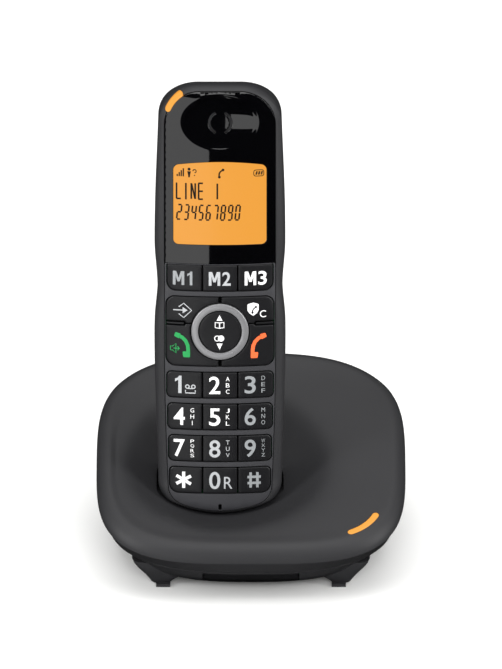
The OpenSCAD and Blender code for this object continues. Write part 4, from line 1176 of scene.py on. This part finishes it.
silver_lacquer = plated("satin_silver_lacquer", "#9e9ea0", 0.36, 0.5, 0.001, 0.6)
profile = np.array([(8.05, -1.6), (8.05, 0.2), (8.1, 0.38), (8.3, 0.52), (8.7, 0.6), (9.3, 0.63), (9.9, 0.6),
                    (10.3, 0.5), (10.5, 0.34), (RING_R, 0.15), (RING_R, -1.6), (8.05, -1.6)])
N_RING = 160
around = np.linspace(0, 2 * math.pi, N_RING, endpoint=False)
nav_x = profile[:, :1] * np.cos(around)
nav_z = RING_Z + profile[:, :1] * np.sin(around)
piece("navigation_ring", place(nav_x, face_y(nav_x, nav_z) - profile[:, 1:], nav_z).reshape(-1, 3),
      grid_faces(len(profile), N_RING), silver_lacquer, "nav", "ring", ["nav_ring"])


def disc_skin(x, z):
    """The rocker's top: level with the keys at its edge and dished by 0.3 mm."""
    r = np.hypot(x, np.asarray(z) - RING_Z) / 7.75
    return face_y(x, z) - KEY_PROUD + 0.3 * np.clip(1 - r * r, 0, 1)


piece("navigation_disc",
      *slab(disc_of(0, RING_Z, 7.72, n=110), [], disc_skin, deeper(face_y, 2.0), 0.35, 1.2),
      key_abs, "nav", "keys", ["nav_key"])
cover = [(-1.75, 71.0), (-1.75, 73.0), (-0.15, 72.8), (1.45, 73.0), (1.45, 71.0), (-0.15, 70.75)]
print_on("navigation_disc_legend",
         [filled([(-1.25, 73.6), (0.95, 73.6), (-0.15, 75.8)]),
          filled([(-1.25, 65.0), (-0.15, 62.7), (0.95, 65.0)]),
          stroke(cover, 0.34, True), stroke([(-0.15, 72.9), (-0.15, 70.8)], 0.4),
          stroke(disc_of(-1.0, 66.9, 0.95), 0.32, True), filled(disc_of(0.4, 66.9, 1.15))],
         disc_skin, 0.07, INKS["white"], "nav")

# ==== Light pipes ======================================================================
# Amber polycarbonate bars, frosted, that carry the light of a hidden lamp to the corner of the
# base and of the handset.

amber_pc = polished("amber_polycarbonate_frosted", "#7c5418", 0.4, "#f5a43c", 0.72, 0.0)
piece("base_corner_light",
      *corner_bar([(0, -3.2), (0, -0.02), (0.05, 0.04), (0.16, 0.08), (0.4, 0.1), (0.8, 0.1), (1.15, 0.1)]),
      amber_pc, "base", "light_pipe", ["base_light_pipe"])
PIPE_MM = (-6.6, 147.5)


def corner_light_rings(levels):
    """The handset's bar as a stack of outlines: (inset, depth under the face)."""
    rings = []
    for inset, depth in levels:
        bx, bz = pill(13.5, 1.9, 126, 157, inset)
        bx, bz = bx + PIPE_MM[0], bz + PIPE_MM[1]
        rings.append(place(bx, face_y(bx, bz) + depth, bz))
    return capped(np.array(rings))


piece("handset_corner_light",
      *corner_light_rings([(0, 2.2), (0, 0.0), (0.05, -0.05), (0.15, -0.08), (0.35, -0.1), (0.6, -0.1),
                           (0.9, -0.1)]),
      amber_pc, "handset", "light_pipe")
for shell in (front_shell, window):
    carve(shell, [piece("tool", *corner_light_rings([(-0.1, 6.0), (-0.1, -3.0)]), shell_abs)])

# ==== Page key =========================================================================
# A black ABS bar in the front wall of the lower case that follows its curve.

bar_x, bar_z = np.meshgrid(np.linspace(-17.5, 17.5, 90), np.linspace(4.6, 10.2, 22))
near_side = np.clip((abs(bar_x) - 16.9) / 0.6, 0, 1)
near_edge = np.maximum(near_side, np.clip((abs(bar_z - 7.4) - 2.2) / 0.6, 0, 1))
half_w, half_d = tray_half(bar_z)
wall_curve = -half_d * (1 - (abs(bar_x) / half_w) ** JOINT_POWER) ** (1 / JOINT_POWER)
bar_y = wall_curve + 0.35 + 0.5 * (1 - np.sqrt(1 - near_edge ** 2))
front_net = np.stack([bar_x, bar_y, bar_z], -1)
back_net = np.stack([bar_x, 0 * bar_y - 39.5, bar_z], -1)
count = bar_x.size
index = np.arange(count).reshape(bar_x.shape)
border = np.concatenate([index[0], index[1:, -1], index[-1, -2::-1], index[-2:0:-1, 0]])
sides = [(a, b, b + count, a + count) for a, b in zip(border, np.roll(border, -1))]
net_faces = grid_faces(*bar_x.shape, False)
piece("page_key_bar", np.concatenate([front_net.reshape(-1, 3), back_net.reshape(-1, 3)]) / 1000,
      list(net_faces) + [f[::-1] + count for f in net_faces] + sides, key_abs, "page_key", "keys", ["page_key"])

# ==== Inner parts ======================================================================
# The boards, sockets, cells, contacts and the rest keep their own shapes. Each gets the finish
# of what it is made of.

FINISHES = {
    "rubber": moulded("charcoal_elastomer_foot", "#2a2a2c", "#252527", 0.75, 0.5, 0.02),
    "silicone": moulded("dark_grey_silicone_rubber_mat", "#161617", "#131314", 0.5, 0.8, 0.006),
    "circuit_board": moulded("green_solder_mask_on_glass_epoxy", "#1d5a36", "#174b2c", 0.32, 1.2, 0.012,
                             5.0, 0.3),
    "socket_plastic": moulded("black_nylon_socket", "#202022", "#1b1b1d", 0.42, 0.4, 0.006),
    "receiver_plastic": moulded("dark_grey_ABS_capsule", "#3c3c3e", "#363638", 0.5, 0.5, 0.01),
    "diffuser": moulded("white_acrylic_light_guide", "#efece2", "#e8e4d8", 0.35, 0.8, 0.003),
    "led": polished("clear_epoxy_lamp", "#efe6c8", 0.15, "#f5c060", 0.3, 0.6),
    "lcd": polished("amber_polariser_film_unlit", "#8a5a1c", 0.35, None, 0.0, 0.2),
    "light_pipe": amber_pc,
    "cell_sleeve": polished("green_shrink_sleeve", "#2c6f45", 0.3, None, 0.0, 0.4),
    "screw_steel": plated("zinc_plated_screw_steel", "#9a9da1", 0.36),
    "spring_steel": plated("nickel_plated_spring_steel", "#bcbcb8", 0.3),
    "contact_metal": plated("nickel_silver_contact", "#d6cfbc", 0.28),
    "antenna_brass": plated("stamped_brass", "#b8995a", 0.35),
    "keys": key_abs, "shell": shell_abs, "window": piano_black, "ring": silver_lacquer}
for part in frame["record"]["subparts"]:
    node = frame["nodes"][part["node"]]
    node.data.materials.clear()
    node.data.materials.append(FINISHES[part["material_slot"]])
